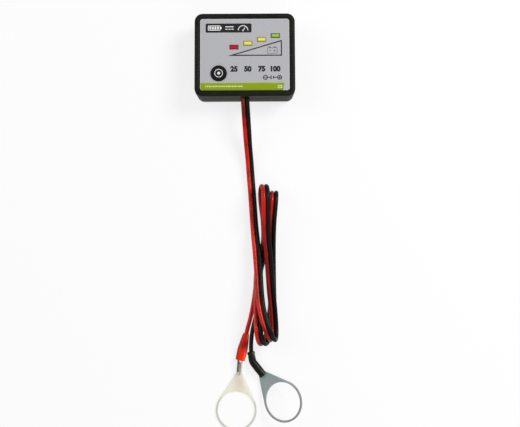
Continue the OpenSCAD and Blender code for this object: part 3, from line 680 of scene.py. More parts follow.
def pick(kind, test=None):
    """In edit mode, selects the vertices, edges or faces that pass a test, or all of them."""
    if bpy.context.mode != "EDIT_MESH":
        bpy.ops.object.mode_set(mode="EDIT")
    bpy.ops.mesh.select_mode(type=kind)
    bpy.ops.mesh.select_all(action="DESELECT" if test else "SELECT")
    if test:
        piece = bpy.context.edit_object
        mesh = bmesh.from_edit_mesh(piece.data)
        for element in {"VERT": mesh.verts, "EDGE": mesh.edges, "FACE": mesh.faces}[kind]:
            element.select_set(bool(test(element)))
        mesh.select_flush_mode()
        bmesh.update_edit_mesh(piece.data)


def faces_down(face):
    """Whether a face points straight down."""
    return face.normal.z < -0.99


def settle():
    """Puts the selected piece's place, turn and size into its mesh."""
    bpy.ops.object.transform_apply(location=True, rotation=True, scale=True)


def block(low, high):
    """A block between two corners, to be shaped."""
    rest_hands()
    bpy.ops.mesh.primitive_cube_add(size=1, location=(low + high) / 2)
    piece = bpy.context.object
    piece.scale = high - low
    settle()
    return piece


def extrude(*step):
    """Extrudes what is selected by a step."""
    bpy.ops.mesh.extrude_region_move(TRANSFORM_OT_translate={"value": step})


def inset(thickness, depth=0.0):
    """Insets what is selected, and raises it."""
    bpy.ops.mesh.inset(thickness=thickness, depth=depth)


def hollow(line):
    """In edit mode, leaves only a line's width of each face along its edges."""
    pick("FACE")
    inset(line * MM)
    bpy.ops.mesh.delete(type="FACE")
    rest_hands()


def modify(piece, kind, **settings):
    """Adds a modifier with its settings and applies it."""
    take(piece)
    modifier = piece.modifiers.new(kind.lower(), kind)
    for name, setting in settings.items():
        setattr(modifier, name, setting)
    bpy.ops.object.modifier_apply(modifier=modifier.name)


def close_up(piece):
    """Merges doubles and turns all faces outwards."""
    take(piece)
    pick("VERT")
    bpy.ops.mesh.remove_doubles(threshold=0.001 * MM)
    bpy.ops.mesh.normals_make_consistent(inside=False)
    rest_hands()


def smooth(piece, degrees):
    """Smooth shading that keeps edges sharper than this angle."""
    take(piece)
    bpy.ops.object.shade_smooth_by_angle(angle=math.radians(degrees))


def join(pieces):
    """Joins pieces into the first of them."""
    take(*pieces)
    if len(pieces) > 1:
        bpy.ops.object.join()
    return pieces[0]


def hand_over(piece, name, material, body="case", nodes=()):
    """Finishes a piece: its place goes into its mesh, then it rides on its body."""
    take(piece)
    settle()
    piece.name = piece.data.name = name
    piece.data.materials.clear()
    piece.data.materials.append(material)
    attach(piece, body)
    if nodes:
        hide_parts(*nodes)


def rounded_twin(node, width, angle, smooth_angle):
    """A merged copy of a CAD node's mesh with its sharp edges rounded a little."""
    rest_hands()
    piece = bpy.data.objects.new(f"{node}_copy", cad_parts[node].data.copy())
    bpy.context.scene.collection.objects.link(piece)
    take(piece)
    pick("VERT")
    bpy.ops.mesh.customdata_custom_splitnormals_clear()
    bpy.ops.mesh.remove_doubles(threshold=0.002 * MM)
    bpy.ops.mesh.dissolve_limited(angle_limit=math.radians(0.4))
    modify(piece, "BEVEL", width=width, segments=2, limit_method="ANGLE",
           angle_limit=math.radians(angle), use_clamp_overlap=True)
    smooth(piece, smooth_angle)
    return piece


def dress_node(node, material):
    """Gives a CAD node its finish."""
    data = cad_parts[node].data
    if not data.materials:
        data.materials.append(material)
    for index in range(len(data.materials)):
        data.materials[index] = material


# ---------------------------------------------------------------- label print, in millimetres

# A bar or a frame is given by its left, lower, right and upper edge.
# The badge, and the white signs on it, counted from the middle of its left end
BADGE = (-21.8, 12.5, 3.8, 17.7)
BADGE_CORNER = 0.7
BADGE_ORIGIN = (-21.8, 15.1)
BADGE_CELL = {"edges": (1.3, -1.45, 8.3, 1.45), "line": 0.42, "corner": 0.45}
BADGE_BARS = [
    (8.3, -0.6, 8.95, 0.6),                                         # the cell's pole
    *((x, -0.8, x + 1, 0.8) for x in (2.15, 3.57, 4.99, 6.41)),     # its charge
    (11, 0.45, 15.6, 0.95),                                         # direct current: a line
    *((x, -0.95, x + 1.2, -0.45) for x in (11, 12.7, 14.4)),        # over three dashes
]
DIAL = {"centre": (-0.9, 13.75), "radius": 2.9, "line": 0.42, "hub": 0.5}
NEEDLE = (-0.19, 0, 0.19, 2)
NEEDLE_LEAN = math.radians(35)
# The wedge that grows from the first lamp to the last, and the small battery in it
WEDGE = (-9.45, -0.8, 20.7, 8.2)
WEDGE_LINE = 0.62
CELL = {"edges": (12.5, 0.5, 18.2, 3.9), "line": 0.28, "corner": 0.25}
CELL_BARS = [
    (13.4, 3.9, 14.5, 4.45), (16.2, 3.9, 17.3, 4.45),               # its two poles
    (13.4, 2.04, 14.6, 2.36),                                       # minus
]
CELL_PLUS = {"centre": (16.6, 2.2), "size": 1.3, "line": 0.32}
# Height of the middle of the numbers, their own height, and how much bolder than the font
NUMBERS = {"y": -8.2, "height": 2.85, "weight": 0.26}
DIGIT_SHARE = 0.73      # height of a digit as a share of the font's size
# The two poles of the lead: ring, sign, stem and plate, counted from the middle of each ring
MINUS_AT, PLUS_AT = (11.4, -13.05), (19.3, -13.05)
POLE_RING = {"radius": 1.35, "line": 0.48}
MINUS_BARS = [(-0.62, -0.2, 0.62, 0.2), (1.35, -0.2, 2.9, 0.2), (2.9, -1.15, 3.4, 1.15)]
PLUS_BARS = [(-3.7, -0.65, -3, 0.65), (-3, -0.2, -1.35, 0.2)]
PLUS_SIGN = {"size": 1.3, "line": 0.4}
# The band: its gap to the label's edge, its end, how far that leans, and its rounded corner
BAND_GAP, BAND_END, BAND_LEAN, BAND_CORNER = 0.25, 21.9, 0.7, 1.1
TICKS = {"start": -22, "y": -18.05, "half_h": 0.36, "gap": 0.32, "count": 18}
TICK_WIDTHS = (0.5, 0.85, 1.2)
BAND_SQUARE = {"edges": (18.2, -19.1, 20.7, -17.5), "line": 0.55, "corner": 0.3}


def flat_bar(left, low, right, high, at=(0, 0)):
    """A flat rectangle given by its edges, counted from a point."""
    rest_hands()
    bpy.ops.mesh.primitive_plane_add(size=1)
    piece = bpy.context.object
    piece.location = ((at[0] + (left + right) / 2) * MM, (at[1] + (low + high) / 2) * MM, 0)
    piece.scale = ((right - left) * MM, (high - low) * MM, 1)
    settle()
    return piece


def flat_bars(bars, at=(0, 0)):
    """Flat rectangles counted from a point."""
    return [flat_bar(*edges, at) for edges in bars]


def round_corners(corner):
    """Rounds the corners of the flat piece being worked on."""
    pick("VERT")
    bpy.ops.mesh.bevel(offset=corner * MM, segments=5, affect="VERTICES")


def flat_frame(edges, line, corner, at=(0, 0)):
    """A flat rectangular frame with rounded corners."""
    piece = flat_bar(*edges, at)
    round_corners(corner)
    hollow(line)
    return piece


def flat_disc(centre, radius, sides=48):
    """A flat disc."""
    rest_hands()
    bpy.ops.mesh.primitive_circle_add(vertices=sides, radius=radius * MM, fill_type="NGON",
                                      location=(centre[0] * MM, centre[1] * MM, 0))
    settle()
    return bpy.context.object


def flat_ring(centre, radius, line):
    """A flat ring."""
    piece = flat_disc(centre, radius)
    hollow(line)
    return piece


def flat_number(number, centre):
    """A number of the scale, centred on a point of the face."""
    rest_hands()
    bpy.ops.object.text_add()
    text = bpy.context.object.data
    text.body = str(number)
    text.size = NUMBERS["height"] * MM / DIGIT_SHARE
    text.offset = NUMBERS["weight"] * MM
    text.resolution_u = 6
    bpy.ops.object.convert(target="MESH")
    piece = bpy.context.object
    places = [v.co for v in piece.data.vertices]
    low, high = (Vector(map(edge, zip(*places))) for edge in (min, max))
    piece.location = Vector((centre[0] * MM, centre[1] * MM, 0)) - (low + high) / 2
    settle()
    return piece


def plus(centre, size, line):
    """A plus sign: a level bar, and one above and one below its middle."""
    end, half = size / 2, line / 2
    return flat_bars([(-end, -half, end, half), (-half, -end, half, -half),
                      (-half, half, half, end)], centre)


def print_on(name, marks, ink, level=0):
    """Joins flat marks and gives them the thickness of a film of ink on the face."""
    film = bpy.context.scene.tester_case.film
    piece = join(marks)
    close_up(piece)
    pick("FACE", lambda face: face.normal.z < 0)
    bpy.ops.mesh.flip_normals()
    rest_hands()
    piece.location.z = LABEL_HIGH.z + level * film
    modify(piece, "SOLIDIFY", thickness=film, offset=1)
    hand_over(piece, name, ink)


def badge_ground():
    """The badge's black ground, with rounded corners."""
    piece = flat_bar(*BADGE)
    round_corners(BADGE_CORNER)
    return [piece]


def badge_marks():
    """White signs on the black badge: a charged cell, direct current and a dial."""
    signs = [flat_frame(**BADGE_CELL, at=BADGE_ORIGIN), *flat_bars(BADGE_BARS, BADGE_ORIGIN)]
    return signs + dial_marks()


def dial_marks():
    """Upper half of a ring, with a hub and a leaning needle."""
    centre = DIAL["centre"]
    pivot = (centre[0] * MM, centre[1] * MM, 0)
    arc = flat_ring(centre, DIAL["radius"], DIAL["line"])
    take(arc)
    pick("VERT")
    bpy.ops.mesh.bisect(plane_co=pivot, plane_no=(0, 1, 0), clear_inner=True)
    hub = flat_disc(centre, DIAL["hub"], 24)
    needle = flat_bar(*NEEDLE, centre)
    pick("VERT")
    bpy.ops.transform.rotate(value=NEEDLE_LEAN, orient_axis="Z", center_override=pivot)
    return [arc, hub, needle]


def wedge_marks():
    """The outline of a wedge that grows from the first lamp to the last."""
    piece = flat_bar(*WEDGE)
    left, low, _, _ = WEDGE
    pick("VERT", lambda v: v.co.x < (left + 1) * MM and v.co.y > (low + 1) * MM)
    bpy.ops.mesh.dissolve_verts()
    hollow(WEDGE_LINE)
    return [piece]


def cell_marks():
    """A small outline of a battery with its two poles, a minus and a plus."""
    return [flat_frame(**CELL), *flat_bars(CELL_BARS), *plus(**CELL_PLUS)]


def scale_marks():
    """The numbers of the scale, one under each lamp, and the signs of the two poles."""
    marks = []
    for place, node in enumerate(LAMP_NODES, 1):
        low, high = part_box(node)
        marks.append(flat_number(25 * place, ((low.x + high.x) / 2 / MM, NUMBERS["y"])))
    for at, pole_bars in ((MINUS_AT, MINUS_BARS), (PLUS_AT, PLUS_BARS)):
        marks += [flat_ring(at, **POLE_RING), *flat_bars(pole_bars, at)]
    return marks + plus(PLUS_AT, **PLUS_SIGN)


def band_marks():
    """The band along the label's foot, with a leaning end and one rounded corner."""
    piece = flat_bar(LABEL_LOW.x / MM + BAND_GAP, BAND_LOW / MM, BAND_END, BAND_TOP / MM)
    middle_y = (BAND_LOW + BAND_TOP) / 2
    pick("VERT", lambda v: v.co.x > 0 and v.co.y < middle_y)
    bpy.ops.transform.translate(value=(-BAND_LEAN * MM, 0, 0))
    pick("VERT", lambda v: v.co.x < 0 and v.co.y < middle_y)
    bpy.ops.mesh.bevel(offset=BAND_CORNER * MM, segments=5, affect="VERTICES")
    return [piece]


def band_ticks():
    """Pale ticks and a small square outline on the band."""
    marks = []
    x = TICKS["start"]
    for i in range(TICKS["count"]):
        wide = TICK_WIDTHS[i % len(TICK_WIDTHS)]
        marks.append(flat_bar(x, TICKS["y"] - TICKS["half_h"], x + wide, TICKS["y"] + TICKS["half_h"]))
        x += wide + TICKS["gap"]
    return [*marks, flat_frame(**BAND_SQUARE)]


# ---------------------------------------------------------------- lead

def curve_through(points):
    """A smooth line through points, in steps of about ROUTE_STEP."""
    ends = [2 * points[0] - points[1], *points, 2 * points[-1] - points[-2]]
    line = []
    for p0, p1, p2, p3 in zip(ends, ends[1:], ends[2:], ends[3:]):
        count = max(2, int((p2 - p1).length / ROUTE_STEP))
        for step in range(count):
            line.append(on_span(p0, p1, p2, p3, step / count))
    line.append(points[-1].copy())
    return line


def on_span(p0, p1, p2, p3, share):
    """A point of the centripetal Catmull-Rom span between the middle two of four points."""
    t1 = math.sqrt((p1 - p0).length)
    t2 = t1 + math.sqrt((p2 - p1).length)
    t3 = t2 + math.sqrt((p3 - p2).length)
    t = t1 + (t2 - t1) * share
    before = p0.lerp(p1, t / t1)
    between = p1.lerp(p2, share)
    after = p2.lerp(p3, (t - t2) / (t3 - t2))
    left = before.lerp(between, t / t2)
    right = between.lerp(after, (t - t1) / (t3 - t1))
    return left.lerp(right, share)


def relaxed(line, passes):
    """The line after each point has moved towards its neighbours, a few times."""
    for _ in range(passes):
        inner = [(a + 2 * b + c) / 4 for a, b, c in zip(line, line[1:], line[2:])]
        line = [line[0], *inner, line[-1]]
    return line


def eased(value, low, high):
    """0 below low, 1 above high and smooth between them."""
    share = min(1, max(0, (value - low) / (high - low)))
    return share * share * (3 - 2 * share)


def beside(line, offset):
    """A line that runs a fixed step to the right of another, or lower where the twin rolls."""
    last = len(line) - 1
    moved = []
    for i, point in enumerate(line):
        way = (line[min(i + 1, last)] - line[max(i - 1, 0)]).normalized()
        across = (Vector((1, 0, 0)) - way * way.x).normalized()
        gone = i * ROUTE_STEP
        rolled = eased(gone, *ROLL_STARTS) * (1 - eased(gone, *ROLL_ENDS))
        across.rotate(Quaternion(way, -TWIN_ROLL * rolled))
        moved.append(point + across * offset)
    return moved


def wire_line(side, tail, radius):
    """The centre line of one wire: beside the twin's line, then on its own to its boot."""
    middle = curve_through([at_foot(*point) for point in TWIN_ROUTE + HANK_ROUTE])
    line = beside(relaxed(middle, ROUTE_PASSES), side * radius)
    own = curve_through([line[-PARTING_POINTS], line[-1], *(at_foot(*point) for point in tail)])
    line = line[:-PARTING_POINTS] + own
    return [Vector((p.x, p.y, max(p.z, radius))) for p in line]


def wire(name, line, lead, material, nodes):
    """A round wire on its centre line, as a curve of one open spline."""
    data = bpy.data.curves.new(name, "CURVE")
    data.dimensions = "3D"
    data.bevel_depth = lead.wire_d / 2
    data.bevel_resolution = lead.wire_sides
    data.use_fill_caps = True
    spline = data.splines.new("POLY")
    spline.points.add(len(line) - 1)
    for point, place in zip(spline.points, line):
        point.co = (*place, 1)
    spline.use_smooth = True
    data.materials.append(material)
    piece = bpy.data.objects.new(name, data)
    bpy.context.scene.collection.objects.link(piece)
    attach(piece, "case")
    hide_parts(*nodes)


# ---------------------------------------------------------------- boots, in millimetres

BOOT_SIDES = 40
RED_BOOT = {"mouth": (-3.4, -145.9), "heading": math.radians(-13.4), "wall": 0.45,
            "mouth_round": 0.12, "least_z": 0.02}
# Stations of the red boot from its mouth: distance, half width, half height, height of centre
RED_STATIONS = [
    (0, 2.62, 1.95, 1.98), (0.5, 2.66, 1.95, 1.97), (2, 2.74, 1.92, 1.95), (4.5, 2.84, 1.95, 1.95),
    (6.5, 2.82, 1.9, 1.92), (8.2, 2.7, 1.84, 1.88), (9.4, 2.56, 1.8, 1.84), (11, 2.34, 1.76, 1.8),
    (12.8, 2.05, 1.72, 1.75), (14.4, 1.8, 1.68, 1.72), (15, 1.66, 1.62, 1.7),
]
# The crease across it, and its slow swells: how many to a metre, and how high
CREASE = {"at": 8.8, "half_w": 0.9, "deep": 0.16, "centre_z": 1.9}
SWELLS_PER_M, SWELL_H = 420, 0.1

# The black boot: its elbow, the headings and lengths of its mouth and neck from there, its wall
BLACK_BOOT = {"elbow": (3.7, -146.9), "heading": math.radians(38.7), "mouth_l": 9.4,
              "neck_heading": math.radians(10), "neck_l": 5.8, "bend_r": 4.6, "wall": 0.4}
# Its radii: whole, at its mouth, along its body, and at its neck
BOOT_R, MOUTH_R, BODY_R, NECK_R = 2.2, 2.18, 2.14, 1.95
# Along its mouth: share of the length, radius. Round its bend: steps, squeeze of every other one
MOUTH_SWELLS = [(0.06, 2.18), (0.2, 2.1), (0.3, 2.18), (0.24, 2.13), (0.2, 2.16)]
BEND_STEPS, BEND_SQUEEZE = 6, 0.1
# Its collar: distance, radius
COLLAR = [(0.12, 1.95), (0.06, 2.1), (0.3, 2.18), (0.9, 2.18), (0.18, 2.08), (0.04, 1.7)]


def red_boot_piece():
    """Flat flared sleeve of soft vinyl over the red wire's crimp, from its mouth to its neck."""
    at, wide, high, centre_z = RED_STATIONS[0]
    rest_hands()
    bpy.ops.mesh.primitive_circle_add(vertices=BOOT_SIDES, radius=MM, rotation=(math.pi / 2, 0, 0))
    piece = bpy.context.object
    piece.scale = (wide, high, 1)
    piece.location = (0, at * MM, centre_z * MM)
    settle()
    pick("EDGE")
    for new_at, new_wide, new_high, new_z in RED_STATIONS[1:]:
        extrude(0, (new_at - at) * MM, (new_z - centre_z) * MM)
        bpy.ops.transform.resize(value=(new_wide / wide, 1, new_high / high),
                                 center_override=(0, new_at * MM, new_z * MM))
        at, wide, high, centre_z = new_at, new_wide, new_high, new_z
    rest_hands()
    for vertex in piece.data.vertices:
        off = (vertex.co.y / MM - CREASE["at"]) / CREASE["half_w"]
        swell = noise.noise(vertex.co * SWELLS_PER_M) * SWELL_H * MM
        outward = Vector((vertex.co.x, 0, vertex.co.z - CREASE["centre_z"] * MM)).normalized()
        vertex.co += outward * (swell - CREASE["deep"] * MM * math.exp(-off ** 2))
        vertex.co.z = max(vertex.co.z, RED_BOOT["least_z"] * MM)
    close_up(piece)
    modify(piece, "SOLIDIFY", thickness=RED_BOOT["wall"] * MM, offset=-1)
    modify(piece, "BEVEL", width=RED_BOOT["mouth_round"] * MM, segments=2, limit_method="ANGLE",
           angle_limit=math.radians(50))
    modify(piece, "SUBSURF", levels=1, render_levels=1)
    piece.rotation_euler.z = RED_BOOT["heading"]
    piece.location = at_foot(*RED_BOOT["mouth"])
    return piece


def black_boot_steps(turn):
    """Steps of the black boot from its mouth: distance, new radius, and turn at the end."""
    bend_r = BLACK_BOOT["bend_r"]
    reach = bend_r * math.tan(turn / 2)
    arc = bend_r * turn / BEND_STEPS
    mouth = BLACK_BOOT["mouth_l"] - reach
    neck = BLACK_BOOT["neck_l"] - reach - sum(distance for distance, _ in COLLAR)
    steps = [(mouth * share, radius, 0) for share, radius in MOUTH_SWELLS]
    steps += [(arc, BODY_R - BEND_SQUEEZE * (i % 2), -turn / BEND_STEPS) for i in range(BEND_STEPS)]
    steps += [(neck / 3, BODY_R + (NECK_R - BODY_R) * i / 3, 0) for i in (1, 2, 3)]
    return steps + [(distance, radius, 0) for distance, radius in COLLAR]


def black_boot_piece():
    """Round vinyl boot with a collar, bent where the wire turns to its terminal."""
    boot = BLACK_BOOT
    size = MOUTH_R
    rest_hands()
    bpy.ops.mesh.primitive_circle_add(vertices=BOOT_SIDES, radius=size * MM,
                                      rotation=(math.pi / 2, 0, 0))
    piece = bpy.context.object
    settle()
    pick("EDGE")
    centre, heading = Vector(), 0.0
    for distance, new_size, turn in black_boot_steps(boot["heading"] - boot["neck_heading"]):
        way = Vector((-math.sin(heading), math.cos(heading), 0)) * distance * MM
        centre += way
        extrude(*way)
        bpy.ops.transform.resize(value=(new_size / size,) * 3, center_override=centre)
        if turn:
            bpy.ops.transform.rotate(value=-turn, orient_axis="Z", center_override=centre)
        heading += turn
        size = new_size
    close_up(piece)
    modify(piece, "SOLIDIFY", thickness=boot["wall"] * MM, offset=-1)
    modify(piece, "SUBSURF", levels=1, render_levels=1)
    out = Vector((math.sin(boot["heading"]), -math.cos(boot["heading"]))) * boot["mouth_l"]
    piece.rotation_euler.z = boot["heading"]
    piece.location = at_foot(boot["elbow"][0] + out.x, boot["elbow"][1] + out.y, BOOT_R)
    return piece


# ---------------------------------------------------------------- lamps, button, parts inside

# Steps of a lamp's window towards its middle: width and rise, in millimetres
WINDOW_STEPS = [(0.35, 0.03), (0.3, 0.015)]
# A lamp's legs: their pitch, width, how far they run up into the body, and the taper of their ends
LEG_PITCH, LEG_W, LEG_OVERLAP, LEG_TAPER = 2.54 * MM, 0.5 * MM, 0.5 * MM, 0.6
# The rounded edges of a lamp's flange and of its legs
FLANGE_ROUND, LEG_ROUND = 0.12 * MM, 0.05 * MM
# The button's cap and its flange, the cap's rounded edge and the land inside it, the dish, and
# the pocket for the plunger
CAP_R, CAP_FLANGE_H, CAP_EDGE, CAP_LAND, DISH_DEEP = 4.4 * MM, 1 * MM, 0.4 * MM, 0.35 * MM, 0.25 * MM
# The rings of the dish, and the share of its radius that they take up
DISH_RINGS, DISH_SHARE = 6, 0.98
POCKET_R, POCKET_DEEP = 1.85 * MM, 1 * MM
BUTTON_RING, BUTTON_DOT = {"radius": 2.35, "line": 0.36}, 0.85      # in millimetres
# Parts with tinned leads: half width and half depth of the body in millimetres, the level below
# which all is lead, and the body's colour
BLACK_RESIN, BLUE_SLEEVE = shade(34, 34, 36), shade(34, 40, 84)
PACKAGES = [
    ("comparator_chip", 4.36, 1.96, None, BLACK_RESIN),
    ("reference_chip", 1.46, 0.66, None, BLACK_RESIN),
    ("protection_diode", 2.16, 1.31, None, BLACK_RESIN),
    ("smoothing_capacitor", 9, 9, BOARD_Z, BLUE_SLEEVE),
    ("switch_base", 3.01, 9, BOARD_Z, BLACK_RESIN),
]


def lamp_piece(low, high, rounding):
    """Rectangular lamp: a window body with rounded edges on a flange, and two legs."""
    base_z = high.z - LAMP_BODY
    centre = (low + high) / 2
    flange_w = Vector((LAMP_FLANGE, LAMP_FLANGE, 0))
    body = block(Vector((*low.xy, base_z)) + flange_w, high - flange_w)
    pick("EDGE", lambda e: max(v.co.z for v in e.verts) > base_z + 0.1 * MM)
    bpy.ops.mesh.bevel(offset=rounding, segments=4, affect="EDGES")
    pick("FACE", lambda f: f.normal.z > 0.99)
    for width, rise in WINDOW_STEPS:
        inset(width * MM, rise * MM)
    flange = block(Vector((*low.xy, base_z)), Vector((*high.xy, base_z + LAMP_FLANGE_H)))
    pick("EDGE")
    bpy.ops.mesh.bevel(offset=FLANGE_ROUND, segments=2, affect="EDGES")
    parts = [body, flange]
    for side in (-1, 1):
        foot = Vector((centre.x + side * LEG_PITCH / 2, centre.y, low.z))
        half = Vector((LEG_W / 2, LEG_W / 2, 0))
        leg = block(foot - half, foot + half + Vector((0, 0, base_z - low.z + LEG_OVERLAP)))
        pick("FACE", faces_down)
        bpy.ops.transform.resize(value=(LEG_TAPER, LEG_TAPER, 1), center_override=foot)
        pick("EDGE", lambda e: abs(e.verts[0].co.z - e.verts[1].co.z) > LEG_W)
        bpy.ops.mesh.bevel(offset=LEG_ROUND, segments=2, affect="EDGES")
        parts.append(leg)
    lamp = join(parts)
    smooth(lamp, 32)
    return lamp


def button_cap():
    """The cap: flange, round wall, rounded edge, shallow dish on top, pocket below."""
    low, high = BUTTON_LOW, BUTTON_HIGH
    centre = (low + high) / 2
    flange_r = (high.x - low.x) / 2
    rest_hands()
    bpy.ops.mesh.primitive_circle_add(vertices=96, radius=flange_r, fill_type="NGON",
                                      location=(*centre.xy, low.z))
    cap = bpy.context.object
    settle()
    pick("FACE")
    extrude(0, 0, CAP_FLANGE_H)
    inset(flange_r - CAP_R)
    extrude(0, 0, high.z - low.z - CAP_FLANGE_H - CAP_EDGE)
    turns = [math.pi / 12 * i for i in range(7)]
    for before, turn in zip(turns, turns[1:]):
        inset(CAP_EDGE * (math.cos(before) - math.cos(turn)),
              CAP_EDGE * (math.sin(turn) - math.sin(before)))
    inset(CAP_LAND)
    ring_w = (CAP_R - CAP_EDGE - CAP_LAND) / DISH_RINGS * DISH_SHARE
    for i in range(DISH_RINGS):
        here, there = 1 - i / DISH_RINGS, 1 - (i + 1) / DISH_RINGS
        inset(ring_w, -DISH_DEEP * (here ** 2 - there ** 2))
    pick("FACE", faces_down)
    inset(flange_r - POCKET_R)
    extrude(0, 0, POCKET_DEEP)
    close_up(cap)
    smooth(cap, 34)
    return cap


def button_sign(cap):
    """A ring and a dot, laid on the cap's dish."""
    centre = (BUTTON_LOW + BUTTON_HIGH) / 2 / MM
    sign = join([flat_ring(centre, **BUTTON_RING), flat_disc(centre, BUTTON_DOT, 32)])
    pick("FACE")
    bpy.ops.mesh.quads_convert_to_tris()
    rest_hands()
    sign.location.z = BUTTON_HIGH.z + 1 * MM
    modify(sign, "SHRINKWRAP", target=cap, wrap_method="PROJECT", use_project_z=True,
           use_negative_direction=True, use_positive_direction=False, offset=0.03 * MM)
    return sign


def snap_dome(steel):
    """Rounds the snap dome's edge, and gives it a mesh of its own."""
    dome = rounded_twin("switch_dome", 0.02 * MM, 40, 50)
    hand_over(dome, "snap_dome", steel, nodes=("switch_dome",))
    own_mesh(dome)


# ---------------------------------------------------------------- operators

class Step(bpy.types.Operator):
    """Base of the steps. One that can't make its pieces raises an error."""
    bl_options = {"REGISTER", "UNDO"}


class TESTER_OT_camera(Step):
    """Adds the camera above the lead, looking down and a little towards the case"""
    bl_idname = "tester.camera"
    bl_label = "Camera"

    def execute(self, context):
        scene = context.scene
        stage = scene.tester_stage
        rest_hands()
        bpy.ops.object.camera_add(location=stage.eye, rotation=(stage.tilt, 0, stage.roll))
        camera = bpy.context.object
        camera.name = "camera"
        camera.data.lens = stage.lens
        camera.data.sensor_width = 36
        camera.data.clip_start, camera.data.clip_end = 0.01, 20
        scene.camera = camera
        return {"FINISHED"}


class TESTER_OT_leads(Step):
    """Lays the red and the black wire of the twin lead, folded into its hank"""
    bl_idname = "tester.leads"
    bl_label = "Twin lead"

    def execute(self, context):
        lead = context.scene.tester_lead
        radius = lead.wire_d / 2
        both = ("twin_cable", "cable_hank")
        red = insulation("red_insulation", lead.red, lead.red_deep, 0.14, 0.6, lead.red_shine)
        black = insulation("black_insulation", lead.black, darker(lead.black, 0.6), 0.08, 0.08)
        wire("red_wire", wire_line(-1, RED_ROUTE, radius), lead,
             red, (*both, "red_lead"))
        wire("black_wire", wire_line(1, BLACK_ROUTE, radius), lead,
             black, (*both, "black_lead"))
        return {"FINISHED"}


class TESTER_OT_case(Step):
    """Finishes the two moulded shells, with softly rounded edges"""
    bl_idname = "tester.case"
    bl_label = "Case shells"

    def execute(self, context):
        case = context.scene.tester_case
        plastic = case_plastic(case)
        for node, name in (("front_cover", "front_shell"), ("rear_housing", "rear_shell")):
            shell = rounded_twin(node, case.edge_round, 34, 28)
            hand_over(shell, name, plastic, nodes=(node,))
        return {"FINISHED"}


class TESTER_OT_label(Step):
    """Finishes the label's film and prints its band, wedge, scale and signs"""
    bl_idname = "tester.label"
    bl_label = "Label and print"

    def execute(self, context):
        case = context.scene.tester_case
        dress_node("face_label", label_film(case))
        black = printed_ink("black_ink", case.ink)
        white = printed_ink("white_ink", case.pale_ink)
        grey = printed_ink("grey_ink", case.grey_ink)
        pale_green = printed_ink("pale_green_ink", shade(214, 226, 160))
        print_on("label_band", band_marks(), band_ink(case))
        print_on("band_ticks", band_ticks(), pale_green, level=1)
        print_on("wedge_outline", wedge_marks(), black)
        print_on("cell_outline", cell_marks(), grey)
        print_on("scale_numbers", scale_marks(), black)
        print_on("badge_ground", badge_ground(), black)
        print_on("badge_signs", badge_marks(), white, level=1)
        return {"FINISHED"}


class TESTER_OT_lamps(Step):
    """Moulds one lamp and sets a copy of it in each of the four windows"""
    bl_idname = "tester.lamps"
    bl_label = "Lamps"

    def execute(self, context):
        scene = context.scene
        lamps = scene.tester_lamps
        low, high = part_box(LAMP_NODES[0])
        first = (low + high) / 2
        model = lamp_piece(low, high, lamps.lens_round)
        for node, tint in zip(LAMP_NODES, ("red", "yellow", "yellow", "green")):
            low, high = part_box(node)
            lamp = model.copy()
            lamp.data = model.data.copy()
            scene.collection.objects.link(lamp)
            lamp.location = (low + high) / 2 - first
            name = node.replace("led", "lamp")
            epoxy = lamp_epoxy(f"{name}_epoxy", low, high, getattr(lamps, tint),
                               getattr(lamps, f"{tint}_rim"))
            hand_over(lamp, name, epoxy, nodes=(node,))
        bpy.data.objects.remove(model)
        return {"FINISHED"}


class TESTER_OT_button(Step):
    """Turns the push button's cap with its finger dish, and prints its mark"""
    bl_idname = "tester.button"
    bl_label = "Push button"

    def execute(self, context):
        lamps = context.scene.tester_lamps
        cap = button_cap()
        hand_over(cap, "button_cap", button_plastic(lamps), "button",
                  ("push_button",))
        hand_over(button_sign(cap), "button_mark",
                  printed_ink("button_mark_ink", lamps.button_mark), "button")
        return {"FINISHED"}


class TESTER_OT_boots(Step):
    """Shapes the flat red boot and the bent black boot"""
    bl_idname = "tester.boots"
    bl_label = "Boots"

    def execute(self, context):
        lead = context.scene.tester_lead
        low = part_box("red_boot")[0].y
        red = boot_vinyl("red_vinyl", lead.red_boot, lead.red_boot_fold, lead.red_boot_worn,
                         low + 7 * MM, low + 11.5 * MM, 0.25, 0.4, lead.red_shine)
        low, high = (corner.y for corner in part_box("black_boot"))
        black = boot_vinyl("black_vinyl", lead.black_boot, darker(lead.black_boot, 0.6),
                           lead.black_boot_worn, low + 4 * MM, high - 3 * MM, 0.25, 0.06)
        for tint, piece, vinyl in (("red", red_boot_piece(), red),
                                   ("black", black_boot_piece(), black)):
            smooth(piece, 60)
            hand_over(piece, f"{tint}_sleeve", vinyl, nodes=(f"{tint}_boot",))
        return {"FINISHED"}


class TESTER_OT_terminals(Step):
    """Rounds the sheared edges of the ring terminals and tins them"""
    bl_idname = "tester.terminals"
    bl_label = "Ring terminals"

    def execute(self, context):
        lead = context.scene.tester_lead
        bright = tinned_sheet("bright_tin", lead.bright_tin, lead.warm_tin, lead.sheet_edge,
                              lead.bright_rim, RED_STREAK, 0.05)
        grey = tinned_sheet("grey_tin", lead.grey_tin, lead.purple_tin, lead.sheet_edge,
                            lead.grey_rim, BLACK_STREAK, 0.15)
        for tint, tin, slot in (("red", bright, "ring_tin"), ("black", grey, "ring_grey")):
            node = f"{tint}_ring_terminal"
            terminal = rounded_twin(node, 0.1 * MM, 50, 30)
            hand_over(terminal, f"{tint}_terminal", tin, nodes=(node,))
        return {"FINISHED"}


class TESTER_OT_lead_ends(Step):
    """Works out each wire's centre line again, and keeps nothing of it"""
    bl_idname = "tester.lead_ends"
    bl_label = "Lead ends"

    def execute(self, context):
        lead = context.scene.tester_lead
        for side, tint, tail in ((-1, "red", RED_ROUTE), (1, "black", BLACK_ROUTE)):
            line = wire_line(side, tail, lead.wire_d / 2)
        return {"FINISHED"}


